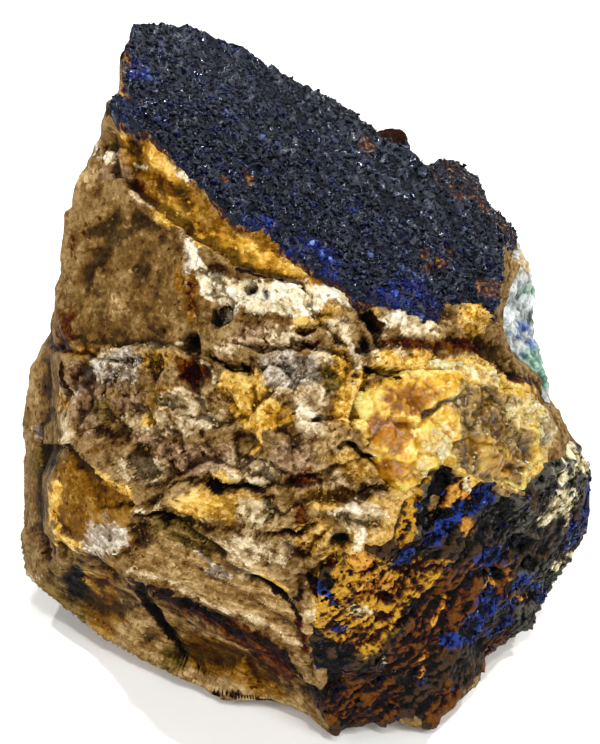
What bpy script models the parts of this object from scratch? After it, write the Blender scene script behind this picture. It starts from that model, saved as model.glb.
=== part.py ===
"""An azurite specimen: a broken block of quartz and limonite rock, 59 mm wide and 57 mm tall, with a crust of
azurite crystals on top, a seam of honey-coloured crystals in front, a pitted crust of goethite and azurite at the
lower right, and a little malachite on the right side.

The form is a cage of named corners, joined by flat breaks. Every break is cut into small faces, the rock gets its
chips and ledges, and each crust is grown outwards from the rock's own faces, so that it fits them exactly.

Corners are in the display frame, in millimetres: across to the right, up along the display side, and depth
towards the viewer. The display side leans back by LEAN, which puts the broken base flat on the table.
"""

import math

import bmesh
import bpy
import numpy as np
from mathutils import Vector
from mathutils.geometry import delaunay_2d_cdt

MM = 0.001

# The display frame and where it stands.
LEAN = math.radians(38.0)
SIGHT = 350.0  # corners keep their place in the display view, from this far away
HEART_HEIGHT = 30.0  # the display frame's origin above the table
CENTRE_X = 0.23  # the footprint's middle, in x and y from the display frame's origin
CENTRE_Y = 3.9
CORE = np.array([0.0, -3.0, -11.0])  # every surface is seen whole from here

# The azurite bed on top is one flat break.
BED_POINT = np.array([0.0, 11.8, 13.0])
BED_NORMAL = np.array([0.372, 0.669, 0.643])


def sight_scale(depth):
    """How much wider a corner at this depth stands than it looks from SIGHT away."""
    return (SIGHT - depth) / SIGHT


def seen(across, up, depth):
    """The real place of a corner that looks to be at (across, up) and is at this depth."""
    return np.array([across * sight_scale(depth), up * sight_scale(depth), depth])


def on_bed(across, up, proud=0.0):
    """A corner where the line of sight meets the azurite bed, or a plane that stands proud of it."""
    sideways = BED_NORMAL[0] * across + BED_NORMAL[1] * up
    reach = BED_NORMAL @ BED_POINT + proud
    return seen(across, up, (reach - sideways) / (BED_NORMAL[2] - sideways / SIGHT))


def above_table(across, up, rise):
    """A corner where the line of sight comes down to `rise` above the table."""
    level = rise - HEART_HEIGHT
    slope = up * math.cos(LEAN)
    return seen(across, up, (level - slope) / (math.sin(LEAN) - slope / SIGHT))


def behind(x, y, height):
    """A corner given as x, y and its height above the table."""
    level = height - HEART_HEIGHT
    return np.array(
        [
            x,
            y * math.sin(LEAN) + level * math.cos(LEAN),
            level * math.sin(LEAN) - y * math.cos(LEAN),
        ]
    )


RIM = {
    "peak": on_bed(-15.2, 35.8),
    "crest_1": on_bed(-11.0, 34.8),
    "crest_2": on_bed(-5.5, 32.8),
    "crest_3": on_bed(0.0, 29.6),
    "crest_4": on_bed(4.5, 27.2),
    "crest_5": on_bed(9.5, 23.0),
    "crest_6": on_bed(12.0, 21.3),
    "knob_1": seen(15.2, 21.5, -12.0),
    "knob_2": seen(17.5, 19.8, -12.0),
    "knob_3": seen(18.7, 17.2, -11.0),
    "knob_4": seen(20.4, 15.8, -11.5),
    "side_1": seen(21.1, 13.3, -9.0),
    "side_2": seen(22.8, 11.8, -8.0),
    "side_3": seen(23.0, 9.0, -9.0),
    "side_4": seen(22.9, 5.0, -10.0),
    "side_5": seen(23.6, 2.6, -10.0),
    "side_6": seen(24.8, -0.6, -8.0),
    "side_7": seen(24.8, -2.2, -3.0),
    "shoulder_1": seen(26.0, -4.4, -2.0),
    "shoulder_2": seen(28.0, -6.6, -4.0),
    "shoulder_3": seen(28.7, -10.8, -8.0),
    "shoulder_4": seen(28.5, -14.2, -12.0),
    "foot_1": above_table(26.8, -18.0, 7.0),
    "foot_2": above_table(24.5, -21.0, 5.0),
    "foot_3": above_table(21.5, -25.5, 3.0),
    "foot_4": above_table(19.0, -27.0, 3.0),
    "foot_5": above_table(18.0, -30.2, 2.5),
    "foot_6": above_table(15.5, -32.5, 4.0),
    "foot_7": above_table(13.0, -34.8, 1.0),
    "foot_8": above_table(11.5, -33.6, 3.0),
    "foot_9": above_table(7.0, -34.2, 1.5),
    "toe": above_table(2.5, -35.5, 1.0),
    "foot_10": above_table(0.0, -33.5, 1.5),
    "foot_11": above_table(-3.0, -32.2, 1.5),
    "foot_12": above_table(-7.5, -32.0, 1.5),
    "foot_13": above_table(-12.0, -30.0, 1.5),
    "foot_14": above_table(-17.0, -27.5, 2.0),
    "foot_15": above_table(-21.0, -25.0, 2.5),
    "foot_16": above_table(-25.0, -21.8, 4.0),
    "heel": above_table(-27.5, -19.5, 5.0),
    "slab_1": seen(-28.1, -15.5, -15.0),
    "slab_2": seen(-27.8, -10.0, -14.0),
    "slab_3": seen(-27.8, -4.0, -13.0),
    "slab_4": seen(-26.8, 0.8, -12.0),
    "slab_5": seen(-25.0, 4.6, -9.0),
    "flank_1": seen(-24.5, 9.0, 1.5),
    "flank_2": seen(-23.2, 14.5, 3.0),
    "flank_3": seen(-22.5, 19.5, 4.0),
    "flank_4": seen(-20.0, 24.0, 5.0),
    "flank_5": on_bed(-18.7, 26.7),
    "flank_6": on_bed(-17.8, 29.5),
    "peak_left": on_bed(-16.9, 34.6),
}

FRONT = {
    # the edge between the azurite bed and the front
    "brow_1": on_bed(-15.0, 24.3),
    "brow_2": on_bed(-10.0, 19.2),
    "brow_3": on_bed(-6.8, 16.2),
    "brow_4": on_bed(-3.2, 14.5),
    "brow_5": on_bed(0.5, 11.5),
    "brow_6": on_bed(5.0, 8.8),
    "brow_7": on_bed(10.0, 6.8),
    "brow_8": on_bed(13.2, 5.8),
    "brow_9": on_bed(14.2, 8.0),
    "brow_10": on_bed(18.2, 7.7),
    "brow_11": on_bed(19.3, 5.6),
    # the bed's right edge, and the knob behind it
    "bed_1": on_bed(19.7, 9.0),
    "bed_2": on_bed(20.4, 13.0),
    "bed_3": on_bed(17.5, 16.6),
    "bed_4": on_bed(15.0, 18.5),
    "knob_5": seen(16.6, 18.8, -7.0),
    # the right side, a step below the bed
    "strip_1": seen(20.9, 11.0, -3.0),
    "strip_2": seen(20.5, 8.0, -1.0),
    "strip_3": seen(20.3, 5.0, 1.0),
    "strip_4": seen(21.6, 3.0, 0.0),
    "strip_5": seen(23.4, 0.6, -3.0),
    "edge_1": seen(20.2, 3.2, 6.5),
    "edge_2": seen(22.2, 0.8, 5.0),
    # the limonite band under the brow
    "band_1": seen(-17.2, 23.0, 7.5),
    "band_2": seen(-15.0, 19.2, 9.0),
    "band_3": seen(-10.0, 15.2, 11.5),
    "band_4": seen(-3.8, 11.8, 13.8),
    "band_5": seen(3.0, 7.7, 14.6),
    "band_6": seen(7.0, 5.0, 13.8),
    # the middle of the front
    "front_1": seen(-8.8, 8.0, 13.2),
    "front_2": seen(-10.5, 3.0, 12.5),
    "front_3": seen(-15.0, 3.0, 10.0),
    "front_4": seen(-5.0, 2.0, 14.2),
    "front_5": seen(0.0, 5.0, 14.6),
    "front_6": seen(-5.0, -5.0, 13.6),
    "front_7": seen(0.0, -5.0, 15.0),
    "front_8": seen(0.0, -12.0, 15.2),
    "front_9": seen(-6.0, -9.0, 14.6),
    "front_10": seen(-15.0, -5.0, 9.5),
    "ledge": seen(13.0, 3.5, 12.6),
    # the block's left edge, and the slab a step behind it
    "cleft": seen(-22.2, 3.5, 4.6),
    "left_1": seen(-23.9, 5.5, 2.5),
    "left_2": seen(-23.4, 0.5, 4.0),
    "left_3": seen(-23.7, -4.0, 4.0),
    "left_4": seen(-23.4, -6.8, 4.5),
    "inner_1": seen(-24.5, 3.4, -7.0),
    "inner_2": seen(-24.4, -2.0, -9.0),
    "inner_3": seen(-24.5, -6.0, -10.0),
    "inner_4": seen(-25.8, -9.4, -10.0),
    "inner_5": seen(-25.8, -15.2, -11.0),
    # the corner lump
    "lump_1": seen(-25.0, -10.0, 2.5),
    "lump_2": seen(-25.0, -14.8, 1.5),
    "lump_3": seen(-22.8, -17.2, 3.0),
    "lump_4": seen(-20.0, -9.0, 8.0),
    "lump_5": seen(-17.0, -12.2, 10.0),
    # the ledge's lip, and the wall set back under it
    "lip_1": seen(-18.5, -18.7, 5.0),
    "lip_2": seen(-16.0, -20.5, 5.5),
    "lip_3": seen(-10.0, -22.2, 6.5),
    "lip_4": seen(-5.0, -25.2, 6.5),
    "lip_5": seen(0.0, -28.8, 5.0),
    "lip_6": seen(1.2, -31.0, 2.0),
    "under_1": seen(-23.4, -18.6, -7.0),
    "under_2": seen(-18.8, -20.2, -3.0),
    "under_3": seen(-16.0, -22.0, -3.0),
    "under_4": seen(-10.5, -24.0, -1.5),
    "under_5": seen(-5.5, -27.0, -1.0),
    "under_6": seen(-0.5, -30.9, -0.8),
    "crack_1": seen(-13.5, -24.5, -5.0),
    "crack_2": seen(-11.0, -28.0, -6.8),
    "wall_1": seen(-20.0, -22.6, -9.0),
    # the cream plate above the lip
    "plate_1": seen(-14.0, -13.5, 9.2),
    "plate_2": seen(-10.0, -16.5, 10.2),
    "plate_3": seen(-4.5, -20.0, 10.6),
    "plate_4": seen(0.5, -23.0, 10.4),
    "step_1": seen(-12.5, -11.2, 11.6),
    "step_2": seen(-8.5, -14.5, 13.2),
    "step_3": seen(-3.5, -18.0, 13.2),
    # the outline and middle of the honey-coloured seam
    "honey_1": seen(5.2, -2.0, 14.2),
    "honey_2": seen(9.5, 0.5, 13.6),
    "honey_3": seen(12.5, 2.2, 12.6),
    "honey_4": seen(17.8, 1.8, 9.8),
    "honey_5": seen(22.6, -1.2, 6.0),
    "honey_6": seen(25.2, -4.6, 2.8),
    "honey_7": seen(24.8, -8.2, 5.0),
    "honey_8": seen(22.0, -11.0, 8.0),
    "honey_9": seen(17.0, -9.8, 11.0),
    "honey_10": seen(14.0, -8.4, 13.0),
    "honey_11": seen(9.8, -11.7, 14.2),
    "honey_12": seen(7.2, -7.0, 15.2),
    "honey_13": seen(15.0, -3.5, 13.2),
    # the pitted crust at the lower right
    "pit_1": seen(1.0, -26.8, 8.0),
    "pit_2": seen(1.8, -20.5, 12.2),
    "pit_3": seen(5.2, -18.0, 13.6),
    "pit_4": seen(9.2, -16.0, 13.6),
    "pit_5": seen(14.0, -16.0, 10.6),
    "pit_6": seen(20.0, -15.0, 4.6),
    "pit_7": seen(15.0, -24.0, 3.8),
    "pit_8": seen(8.0, -26.0, 7.0),
    "pit_9": seen(24.5, -15.0, -2.0),
    "pit_10": seen(10.0, -31.0, 1.2),
    "pit_11": seen(21.0, -21.0, -1.5),
}

BASE = {
    "base_1": behind(2.0, -18.5, 0.0),
    "base_2": behind(11.0, -15.5, 0.0),
    "base_3": behind(17.0, -6.0, 0.0),
    "base_4": behind(21.0, 3.0, 0.0),
    "base_5": behind(22.5, 12.0, 0.0),
    "base_6": behind(16.0, 22.0, 0.0),
    "base_7": behind(2.0, 25.0, 0.0),
    "base_8": behind(-14.0, 23.0, 0.0),
    "base_9": behind(-22.0, 16.0, 0.0),
    "base_10": behind(-23.5, 6.0, 0.0),
    "base_11": behind(-16.0, -4.0, 0.0),
    "base_12": behind(-7.0, -12.0, 0.0),
    "base_13": behind(-1.0, -15.0, 0.0),
}

BACK = {
    "back_1": behind(-17.0, 27.0, 44.0),
    "back_2": behind(-3.0, 28.0, 38.0),
    "back_3": behind(10.0, 28.0, 30.0),
    "back_4": behind(19.5, 22.0, 24.0),
    "back_5": behind(-22.5, 20.0, 24.0),
    "back_6": behind(-25.0, 18.0, 12.0),
    "back_7": behind(-10.0, 30.0, 16.0),
    "back_8": behind(8.0, 30.0, 12.0),
    "back_9": behind(24.5, 12.0, 14.0),
    "back_10": behind(-19.5, 18.0, 44.0),
    "back_11": behind(-22.5, 12.0, 36.0),
    "back_12": seen(12.4, 19.4, -16.0),
    "back_13": behind(-15.0, 25.5, 52.0),
    "back_14": behind(-17.5, 27.5, 36.0),
    "back_15": above_table(12.6, -32.6, 0.8),
    "back_16": seen(19.2, 15.4, -16.0),
}

# Patches of the front that a crust grows on, as loops of corners.
PATCHES = {
    "azurite_druse": ["peak_left", "flank_6", "flank_5"]
    + [f"brow_{n}" for n in range(1, 12)]
    + ["bed_1", "bed_2", "side_1", "knob_4", "knob_3", "knob_2", "knob_1"]
    + [f"crest_{n}" for n in range(6, 0, -1)]
    + ["peak"],
    "honey_crystals": [f"honey_{n}" for n in range(1, 13)],
    "goethite_crust": ["pit_1", "pit_2", "pit_3", "pit_4", "honey_11", "honey_10", "honey_9", "honey_8", "honey_7"]
    + ["shoulder_2", "shoulder_3", "shoulder_4"]
    + [f"foot_{n}" for n in range(1, 10)]
    + ["toe"],
    "malachite_crust": ["strip_1", "strip_2", "strip_3", "strip_4", "strip_5", "side_7", "side_6", "side_5"]
    + ["side_4", "side_3", "side_2", "side_1"],
}

# Edges of breaks that the faces between corners have to follow.
CREASES = [
    ["flank_5", "band_1", "band_2", "band_3", "band_4", "band_5", "band_6", "ledge", "edge_1"],
    ["band_3", "front_1", "front_2", "front_3", "cleft"],
    ["flank_1", "left_1", "cleft", "left_2", "left_3", "left_4", "lump_1", "lump_2", "lump_3"],
    ["lump_3", "lip_1", "lip_2", "lip_3", "lip_4", "lip_5", "lip_6", "toe"],
    ["slab_5", "inner_1", "inner_2", "inner_3", "inner_4", "inner_5", "under_1"],
    ["under_1", "under_2", "under_3", "under_4", "under_5", "under_6", "toe"],
    ["left_4", "lump_4", "lump_5", "plate_1", "plate_2", "plate_3", "plate_4", "pit_1"],
    ["lump_5", "step_1", "step_2", "step_3", "plate_4"],
    ["under_3", "crack_1", "crack_2", "foot_12"],
    ["edge_1", "edge_2", "side_7"],
    ["bed_2", "strip_1"],
    ["bed_4", "knob_5", "side_1"],
]


def picture_of(corner):
    """Where a corner looks to be in the display view."""
    return Vector(corner[:2] / sight_scale(corner[2]))


def round_back(corner):
    """Where a corner lies on a flat map of all directions from the core, with the far side in the map's middle."""
    away = (corner - CORE) / np.linalg.norm(corner - CORE)
    return Vector(away[:2] / (1.0 - away[2]))


def triangulated(corners, outline, creases, flat_map):
    """Delaunay triangles of the named corners inside the outline, with every crease kept as an edge."""
    names = list(corners)
    order = {name: index for index, name in enumerate(names)}
    flat = [flat_map(corners[name]) for name in names]
    edges = [(order[a], order[b]) for line in creases for a, b in zip(line, line[1:])]
    rim = [order[name] for name in outline]
    _, _, faces, sources, _, _ = delaunay_2d_cdt(flat, edges, [rim], 1, 1e-5)
    return [[names[sources[corner][0]] for corner in face] for face in faces]


def loop_of(names):
    """A closed line through the named corners."""
    return [*names, names[0]]


def inside(point, loop):
    """Whether a flat point is inside a loop of flat points: a ray from it crosses the loop an odd number of times."""
    crossings = 0
    for a, b in zip(loop, loop[1:] + loop[:1]):
        if (a.y > point.y) != (b.y > point.y):
            crossings += point.x < a.x + (point.y - a.y) * (b.x - a.x) / (b.y - a.y)
    return crossings % 2 == 1


def cage():
    """The cage: its corners by name, and its triangles as (three names, patch)."""
    front = {**RIM, **FRONT}
    back = {**RIM, **BASE, **BACK}
    triangles = []
    loops = {patch: [picture_of(front[name]) for name in names] for patch, names in PATCHES.items()}
    creases = CREASES + [loop_of(names) for names in PATCHES.values()]
    for names in triangulated(front, list(RIM), creases, picture_of):
        middle = sum((picture_of(front[name]) for name in names), Vector((0.0, 0.0))) / 3
        patch = next((p for p, loop in loops.items() if inside(middle, loop)), "front")
        triangles.append((names, patch))
    for names in triangulated(back, list(RIM), [loop_of(list(BASE))], round_back):
        triangles.append((names, "base" if all(name in BASE for name in names) else "back"))
    return {**front, **back}, triangles


# The longest edge that a small face may have, and how deep each crust sits in the rock, along lines from the core.
LONGEST_EDGE = {
    "front": 3.6,
    "azurite_druse": 3.1,
    "honey_crystals": 2.1,
    "goethite_crust": 2.7,
    "malachite_crust": 2.4,
    "back": 6.0,
    "base": 12.0,
}
COARSENING = (8.0, 4.0, 2.0, 1.0)  # long edges are halved first, so that the small faces stay compact
REGIONS = list(LONGEST_EDGE)
SEAT_DEPTH = {"azurite_druse": 1.8, "honey_crystals": 1.6, "goethite_crust": 1.6, "malachite_crust": 1.4}
EDGE_DEPTH = 0.6  # how deep a seat is along its own edge
FIT_GAP = 0.3  # between a crust and the rock under it
EDGE_GAP = 0.25  # how far a crust's edge stands in from the edge of its seat
EDGE_GROWTH = 0.3  # a crust's growth along its edge, as a share of its growth elsewhere
LOWEST_RIM = 0.3  # nothing but the base comes nearer the table than this

# Relief, as (height, size of the swells).
HOLLOWS = (0.55, 9.0)
CHIPS = (0.5, 3.6)
OUTLINE_SHARE = 0.35  # how much of the rock's relief its outline keeps
BED_SHARE = 0.3  # and how much the azurite bed keeps
BED_SWELL = (0.35, 3.4)

# Crystals and grains.
TIP_LOW = 0.3  # the lowest point over the azurite bed, and how much higher and further over the others stand
TIP_SPREAD = 1.0
TIP_LEAN = 0.9
HONEY_GRAIN = 3.2
GOETHITE_CELL = 4.0
GOETHITE_WALL = 0.35  # a wall's half-width, in cell sizes
MALACHITE_LUMP = 2.6


def hashed(cells, seed):
    """A random number from 0 to 1 for each whole-numbered cell, the same on each run."""
    x, y, z = (cells[..., axis].astype(np.int64) for axis in range(3))
    mixed = (x * 73856093) ^ (y * 19349663) ^ (z * 83492791) ^ (seed * 2654435761)
    mixed = (mixed ^ (mixed >> 13)) * 1274126177 & 0xFFFFFFFF
    mixed = (mixed ^ (mixed >> 16)) * 2246822519 & 0xFFFFFFFF
    return ((mixed ^ (mixed >> 15)) & 0xFFFFFF) / float(0x1000000)


def swell(points, size, seed):
    """Smooth random relief from -1 to 1: random values at the corners of cells of this size, eased between them."""
    scaled = points / size
    cells = np.floor(scaled).astype(np.int64)
    share = scaled - cells
    share = share * share * (3.0 - 2.0 * share)
    total = np.zeros(len(points))
    for corner in np.ndindex(2, 2, 2):
        weight = np.prod(np.where(corner, share, 1.0 - share), axis=1)
        total += weight * hashed(cells + np.array(corner), seed)
    return 2.0 * total - 1.0


def grains(points, size, seed):
    """For each point, the distance to the nearest and the second nearest of randomly placed grains, in grain sizes,
    and a random number that the nearest grain owns."""
    scaled = points / size
    cells = np.floor(scaled).astype(np.int64)
    nearest = np.full(len(points), np.inf)
    second = np.full(len(points), np.inf)
    owner = np.zeros(len(points))
    for shift in np.ndindex(3, 3, 3):
        cell = cells + np.array(shift) - 1
        place = cell + np.stack([hashed(cell, seed + axis) for axis in range(3)], axis=1)
        far = np.linalg.norm(scaled - place, axis=1)
        second = np.minimum(second, np.maximum(nearest, far))
        owner = np.where(far < nearest, hashed(cell, seed + 7), owner)
        nearest = np.minimum(nearest, far)
    return nearest, second, owner


def small_faces():
    """The cage cut into small faces: points, triangles, and the region that each triangle is in."""
    corners, triangles = cage()
    order = {name: index for index, name in enumerate(corners)}
    mesh = bmesh.new()
    points = [mesh.verts.new(place) for place in corners.values()]
    for names, region in triangles:
        face = mesh.faces.new([points[order[name]] for name in names])
        face.material_index = REGIONS.index(region)
    for times in COARSENING:
        while True:
            long_edges = [
                edge
                for edge in mesh.edges
                if edge.calc_length()
                > times * min(LONGEST_EDGE[REGIONS[face.material_index]] for face in edge.link_faces)
            ]
            if not long_edges:
                break
            bmesh.ops.subdivide_edges(mesh, edges=long_edges, cuts=1)
            bmesh.ops.triangulate(mesh, faces=[face for face in mesh.faces if len(face.verts) > 3])
    mesh.verts.index_update()
    placed = np.array([vertex.co for vertex in mesh.verts])
    faces = np.array([[vertex.index for vertex in face.verts] for face in mesh.faces])
    regions = np.array([face.material_index for face in mesh.faces])
    mesh.free()
    a, b, c = (placed[faces[:, n]] - CORE for n in range(3))
    inwards = np.einsum("ij,ij->i", np.cross(a, b), c) < 0
    faces[inwards] = faces[inwards][:, ::-1]
    return placed, faces, regions


def points_of(faces, regions, *names):
    """The points that faces of the named regions use."""
    chosen = np.isin(regions, [REGIONS.index(name) for name in names])
    return np.unique(faces[chosen])


def outwards(points):
    """The direction from the core to each point."""
    away = points - CORE
    return away / np.linalg.norm(away, axis=1)[:, None]


def height_above_table(points):
    return points[:, 1] * math.cos(LEAN) + points[:, 2] * math.sin(LEAN) + HEART_HEIGHT


def weathered(points, faces, regions):
    """The rock's outer points with its chips and hollows: two sizes of relief, less at the rim and none on the base."""
    relief = HOLLOWS[0] * swell(points, HOLLOWS[1], 11) + CHIPS[0] * swell(points, CHIPS[1], 12)
    front = points_of(faces, regions, "front", *SEAT_DEPTH)
    relief[np.intersect1d(front, points_of(faces, regions, "back"))] *= OUTLINE_SHARE
    relief[points_of(faces, regions, "azurite_druse")] *= BED_SHARE
    relief[points_of(faces, regions, "base")] = 0.0
    moved = points + relief[:, None] * outwards(points)
    sunk = LOWEST_RIM - height_above_table(moved)
    sunk[points_of(faces, regions, "base")] = 0.0
    up = np.array([0.0, math.cos(LEAN), math.sin(LEAN)])
    return moved + np.maximum(sunk, 0.0)[:, None] * up


def seated(points, faces, regions):
    """The rock's points with a seat sunk under each crust, shallow along the seat's edge."""
    sunk = np.zeros(len(points))
    for name, depth in SEAT_DEPTH.items():
        patch = faces[regions == REGIONS.index(name)]
        sunk[np.unique(patch)] = depth
    for name in SEAT_DEPTH:
        sunk[np.unique(border_of(faces[regions == REGIONS.index(name)]))] = EDGE_DEPTH
    return points - sunk[:, None] * outwards(points)


def border_of(faces):
    """The directed border edges of a patch of triangles."""
    edges = np.concatenate([faces[:, [0, 1]], faces[:, [1, 2]], faces[:, [2, 0]]])
    taken = {tuple(edge) for edge in edges}
    return np.array(sorted(edge for edge in taken if edge[::-1] not in taken))


def drawn_in(points, faces, border):
    """The patch's points, with those on its border moved in by EDGE_GAP towards the middle of their own faces."""
    middles = points[faces].mean(axis=1)
    total = np.zeros_like(points)
    count = np.zeros(len(points))
    for n in range(3):
        np.add.at(total, faces[:, n], middles)
        np.add.at(count, faces[:, n], 1)
    rim = np.unique(border)
    inward = total[rim] / count[rim, None] - points[rim]
    inward *= EDGE_GAP / np.linalg.norm(inward, axis=1)[:, None]
    moved = points.copy()
    moved[rim] += inward
    return moved


def crust(name, outer, seat, faces, regions, growth, tips=None):
    """A crust as one closed solid: its underside follows the seat at FIT_GAP, its top is the outer surface raised by
    growth(points), and tips(middles, normals) puts a crystal's point over each top face where it is given."""
    patch = faces[regions == REGIONS.index(name)]
    used, local = np.unique(patch, return_inverse=True)
    patch = local.reshape(-1, 3)
    border = border_of(patch)
    rays = outwards(seat[used])
    under = drawn_in(seat[used], patch, border) + FIT_GAP * rays
    grown = growth(outer[used])
    grown[np.unique(border)] *= EDGE_GROWTH
    top = drawn_in(outer[used], patch, border) + grown[:, None] * rays
    count = len(used)
    walls = [[a, b, a + count] for a, b in border] + [[b, b + count, a + count] for a, b in border]
    vertices = [*top, *under]
    solid = [list(face + count)[::-1] for face in patch] + [wall[::-1] for wall in walls]
    if tips is None:
        solid += patch.tolist()
    else:
        a, b, c = (top[patch[:, n]] for n in range(3))
        normals = np.cross(b - a, c - a)
        normals /= np.linalg.norm(normals, axis=1)[:, None]
        peaks = tips((a + b + c) / 3, normals)
        for index, (face, peak) in enumerate(zip(patch, peaks)):
            vertices.append(peak)
            tip = 2 * count + index
            solid += [[face[n], face[(n + 1) % 3], tip] for n in range(3)]
    return np.array(vertices), solid


def druse_growth(points):
    """Uneven growth of the azurite bed."""
    return 0.1 + BED_SWELL[0] * swell(points, BED_SWELL[1], 21)


def druse_tips(middles, normals):
    """A crystal's point over each face of the bed, at a random height and leaning at random."""
    cells = np.floor(middles * 100.0).astype(np.int64)
    lean = np.stack([hashed(cells, 31 + axis) - 0.5 for axis in range(3)], axis=1)
    height = TIP_LOW + TIP_SPREAD * hashed(cells, 35)
    return middles + height[:, None] * normals + TIP_LEAN * lean


def honey_growth(points):
    """Blocky grains that stand at their own heights."""
    nearest, _, owner = grains(points, HONEY_GRAIN, 41)
    return 0.3 + 1.1 * owner - 0.7 * nearest**2


def goethite_growth(points):
    """A honeycomb: walls between cells stand up, and each cell is a pit of its own depth."""
    nearest, second, owner = grains(points, GOETHITE_CELL, 51)
    pit = np.clip((second - nearest) / GOETHITE_WALL, 0.0, 1.0)
    return 0.7 - (0.5 + 0.8 * owner) * pit


def malachite_growth(points):
    """Small round lumps."""
    nearest, _, _ = grains(points, MALACHITE_LUMP, 61)
    return 0.9 - 1.0 * nearest**2


MATERIALS = {
    "host_rock": ((0.30, 0.17, 0.07), 0.75),
    "azurite_druse": ((0.012, 0.018, 0.11), 0.2),
    "honey_crystals": ((0.62, 0.33, 0.05), 0.3),
    "goethite_crust": ((0.07, 0.035, 0.03), 0.45),
    "malachite_crust": ((0.10, 0.22, 0.20), 0.55),
}


def material(name):
    """A plain finish: the piece's colour and roughness, with no metal in it."""
    colour, roughness = MATERIALS[name]
    made = bpy.data.materials.new(name)
    made.use_nodes = True
    shader = made.node_tree.nodes["Principled BSDF"]
    shader.inputs["Base Color"].default_value = (*colour, 1.0)
    shader.inputs["Roughness"].default_value = roughness
    shader.inputs["Metallic"].default_value = 0.0
    return made


def standing(points):
    """Display-frame millimetres as metres in the world, with the footprint's middle at the origin."""
    x = points[:, 0] - CENTRE_X
    y = points[:, 1] * math.sin(LEAN) - points[:, 2] * math.cos(LEAN) - CENTRE_Y
    return MM * np.stack([x, y, height_above_table(points)], axis=1)


def add_piece(name, points, faces):
    """One named piece of the specimen, in its place."""
    mesh = bpy.data.meshes.new(name)
    mesh.from_pydata(standing(points).tolist(), [], [list(map(int, face)) for face in faces])
    mesh.materials.append(material(name))
    bpy.context.scene.collection.objects.link(bpy.data.objects.new(name, mesh))


def main():
    for old in list(bpy.data.objects):
        bpy.data.objects.remove(old)
    points, faces, regions = small_faces()
    outer = weathered(points, faces, regions)
    seat = seated(outer, faces, regions)
    add_piece("host_rock", seat, faces)
    for name, growth, tips in (
        ("azurite_druse", druse_growth, druse_tips),
        ("honey_crystals", honey_growth, None),
        ("goethite_crust", goethite_growth, None),
        ("malachite_crust", malachite_growth, None),
    ):
        add_piece(name, *crust(name, outer, seat, faces, regions, growth, tips))


main()
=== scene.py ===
"""The azurite specimen's finish: broken rock with its stains, cracks and grains, the azurite druse with its
crystals, the honey-coloured seam, the pitted goethite crust and the malachite strip.

Shapes are worked out in the display frame, in millimetres: across to the right, up along the display side,
and depth towards the viewer. Every surface is a function of direction from the rock's core, so each crust
fits the rock. In swell, grains and facets, the two numbers after the points are a size and a seed.
"""

import math

import bpy
import numpy as np
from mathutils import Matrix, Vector
from mathutils.geometry import delaunay_2d_cdt


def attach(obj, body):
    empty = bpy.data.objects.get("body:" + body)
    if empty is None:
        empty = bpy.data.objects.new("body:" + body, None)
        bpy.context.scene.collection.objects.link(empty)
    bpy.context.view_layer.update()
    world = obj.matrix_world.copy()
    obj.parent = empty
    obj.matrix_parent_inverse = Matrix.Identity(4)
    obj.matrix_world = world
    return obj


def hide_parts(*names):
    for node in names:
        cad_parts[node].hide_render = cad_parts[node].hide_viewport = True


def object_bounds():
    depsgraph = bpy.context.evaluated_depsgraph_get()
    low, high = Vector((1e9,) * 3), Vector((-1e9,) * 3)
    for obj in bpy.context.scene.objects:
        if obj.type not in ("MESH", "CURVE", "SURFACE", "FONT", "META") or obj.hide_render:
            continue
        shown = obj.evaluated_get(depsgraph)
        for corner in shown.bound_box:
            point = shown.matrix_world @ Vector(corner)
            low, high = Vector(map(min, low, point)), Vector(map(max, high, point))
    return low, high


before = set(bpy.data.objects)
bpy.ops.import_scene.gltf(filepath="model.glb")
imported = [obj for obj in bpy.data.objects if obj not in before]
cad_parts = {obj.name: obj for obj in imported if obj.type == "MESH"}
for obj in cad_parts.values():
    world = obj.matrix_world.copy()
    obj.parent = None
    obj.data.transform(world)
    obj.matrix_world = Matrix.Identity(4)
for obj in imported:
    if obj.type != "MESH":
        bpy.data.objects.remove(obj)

cad_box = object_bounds()
MM = 0.001

# The display frame and where it stands.
LEAN = math.radians(38.0)
SIGHT = 350.0  # corners keep their place in the display view, from this far away
HEART_HEIGHT = 30.0  # the display frame's origin above the table
CENTRE_X = 0.23  # the footprint's middle, in x and y from the display frame's origin
CENTRE_Y = 3.9
CORE = np.array([0.0, -3.0, -11.0])  # every surface is seen whole from here

# The azurite bed on top is one flat break.
BED_POINT = np.array([0.0, 11.8, 13.0])
BED_NORMAL = np.array([0.372, 0.669, 0.643])


def sight_scale(depth):
    """How much wider a corner at this depth stands than it looks from SIGHT away."""
    return (SIGHT - depth) / SIGHT


def seen(across, up, depth):
    """The real place of a corner that looks to be at (across, up) and is at this depth."""
    return np.array([across * sight_scale(depth), up * sight_scale(depth), depth])


def on_bed(across, up, proud=0.0):
    """A corner where the line of sight meets the azurite bed, or a plane that stands proud of it."""
    sideways = BED_NORMAL[0] * across + BED_NORMAL[1] * up
    reach = BED_NORMAL @ BED_POINT + proud
    return seen(across, up, (reach - sideways) / (BED_NORMAL[2] - sideways / SIGHT))


def above_table(across, up, rise):
    """A corner where the line of sight comes down to `rise` above the table."""
    level = rise - HEART_HEIGHT
    slope = up * math.cos(LEAN)
    return seen(across, up, (level - slope) / (math.sin(LEAN) - slope / SIGHT))


def behind(x, y, height):
    """A corner given as x, y and its height above the table."""
    level = height - HEART_HEIGHT
    return np.array(
        [
            x,
            y * math.sin(LEAN) + level * math.cos(LEAN),
            level * math.sin(LEAN) - y * math.cos(LEAN),
        ]
    )


def numbered(name, place, corners, first=1):
    """Corners of one kind by name and number, each put in its place by the function given."""
    return {f"{name}_{first + n}": place(*corner) for n, corner in enumerate(corners)}


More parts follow.
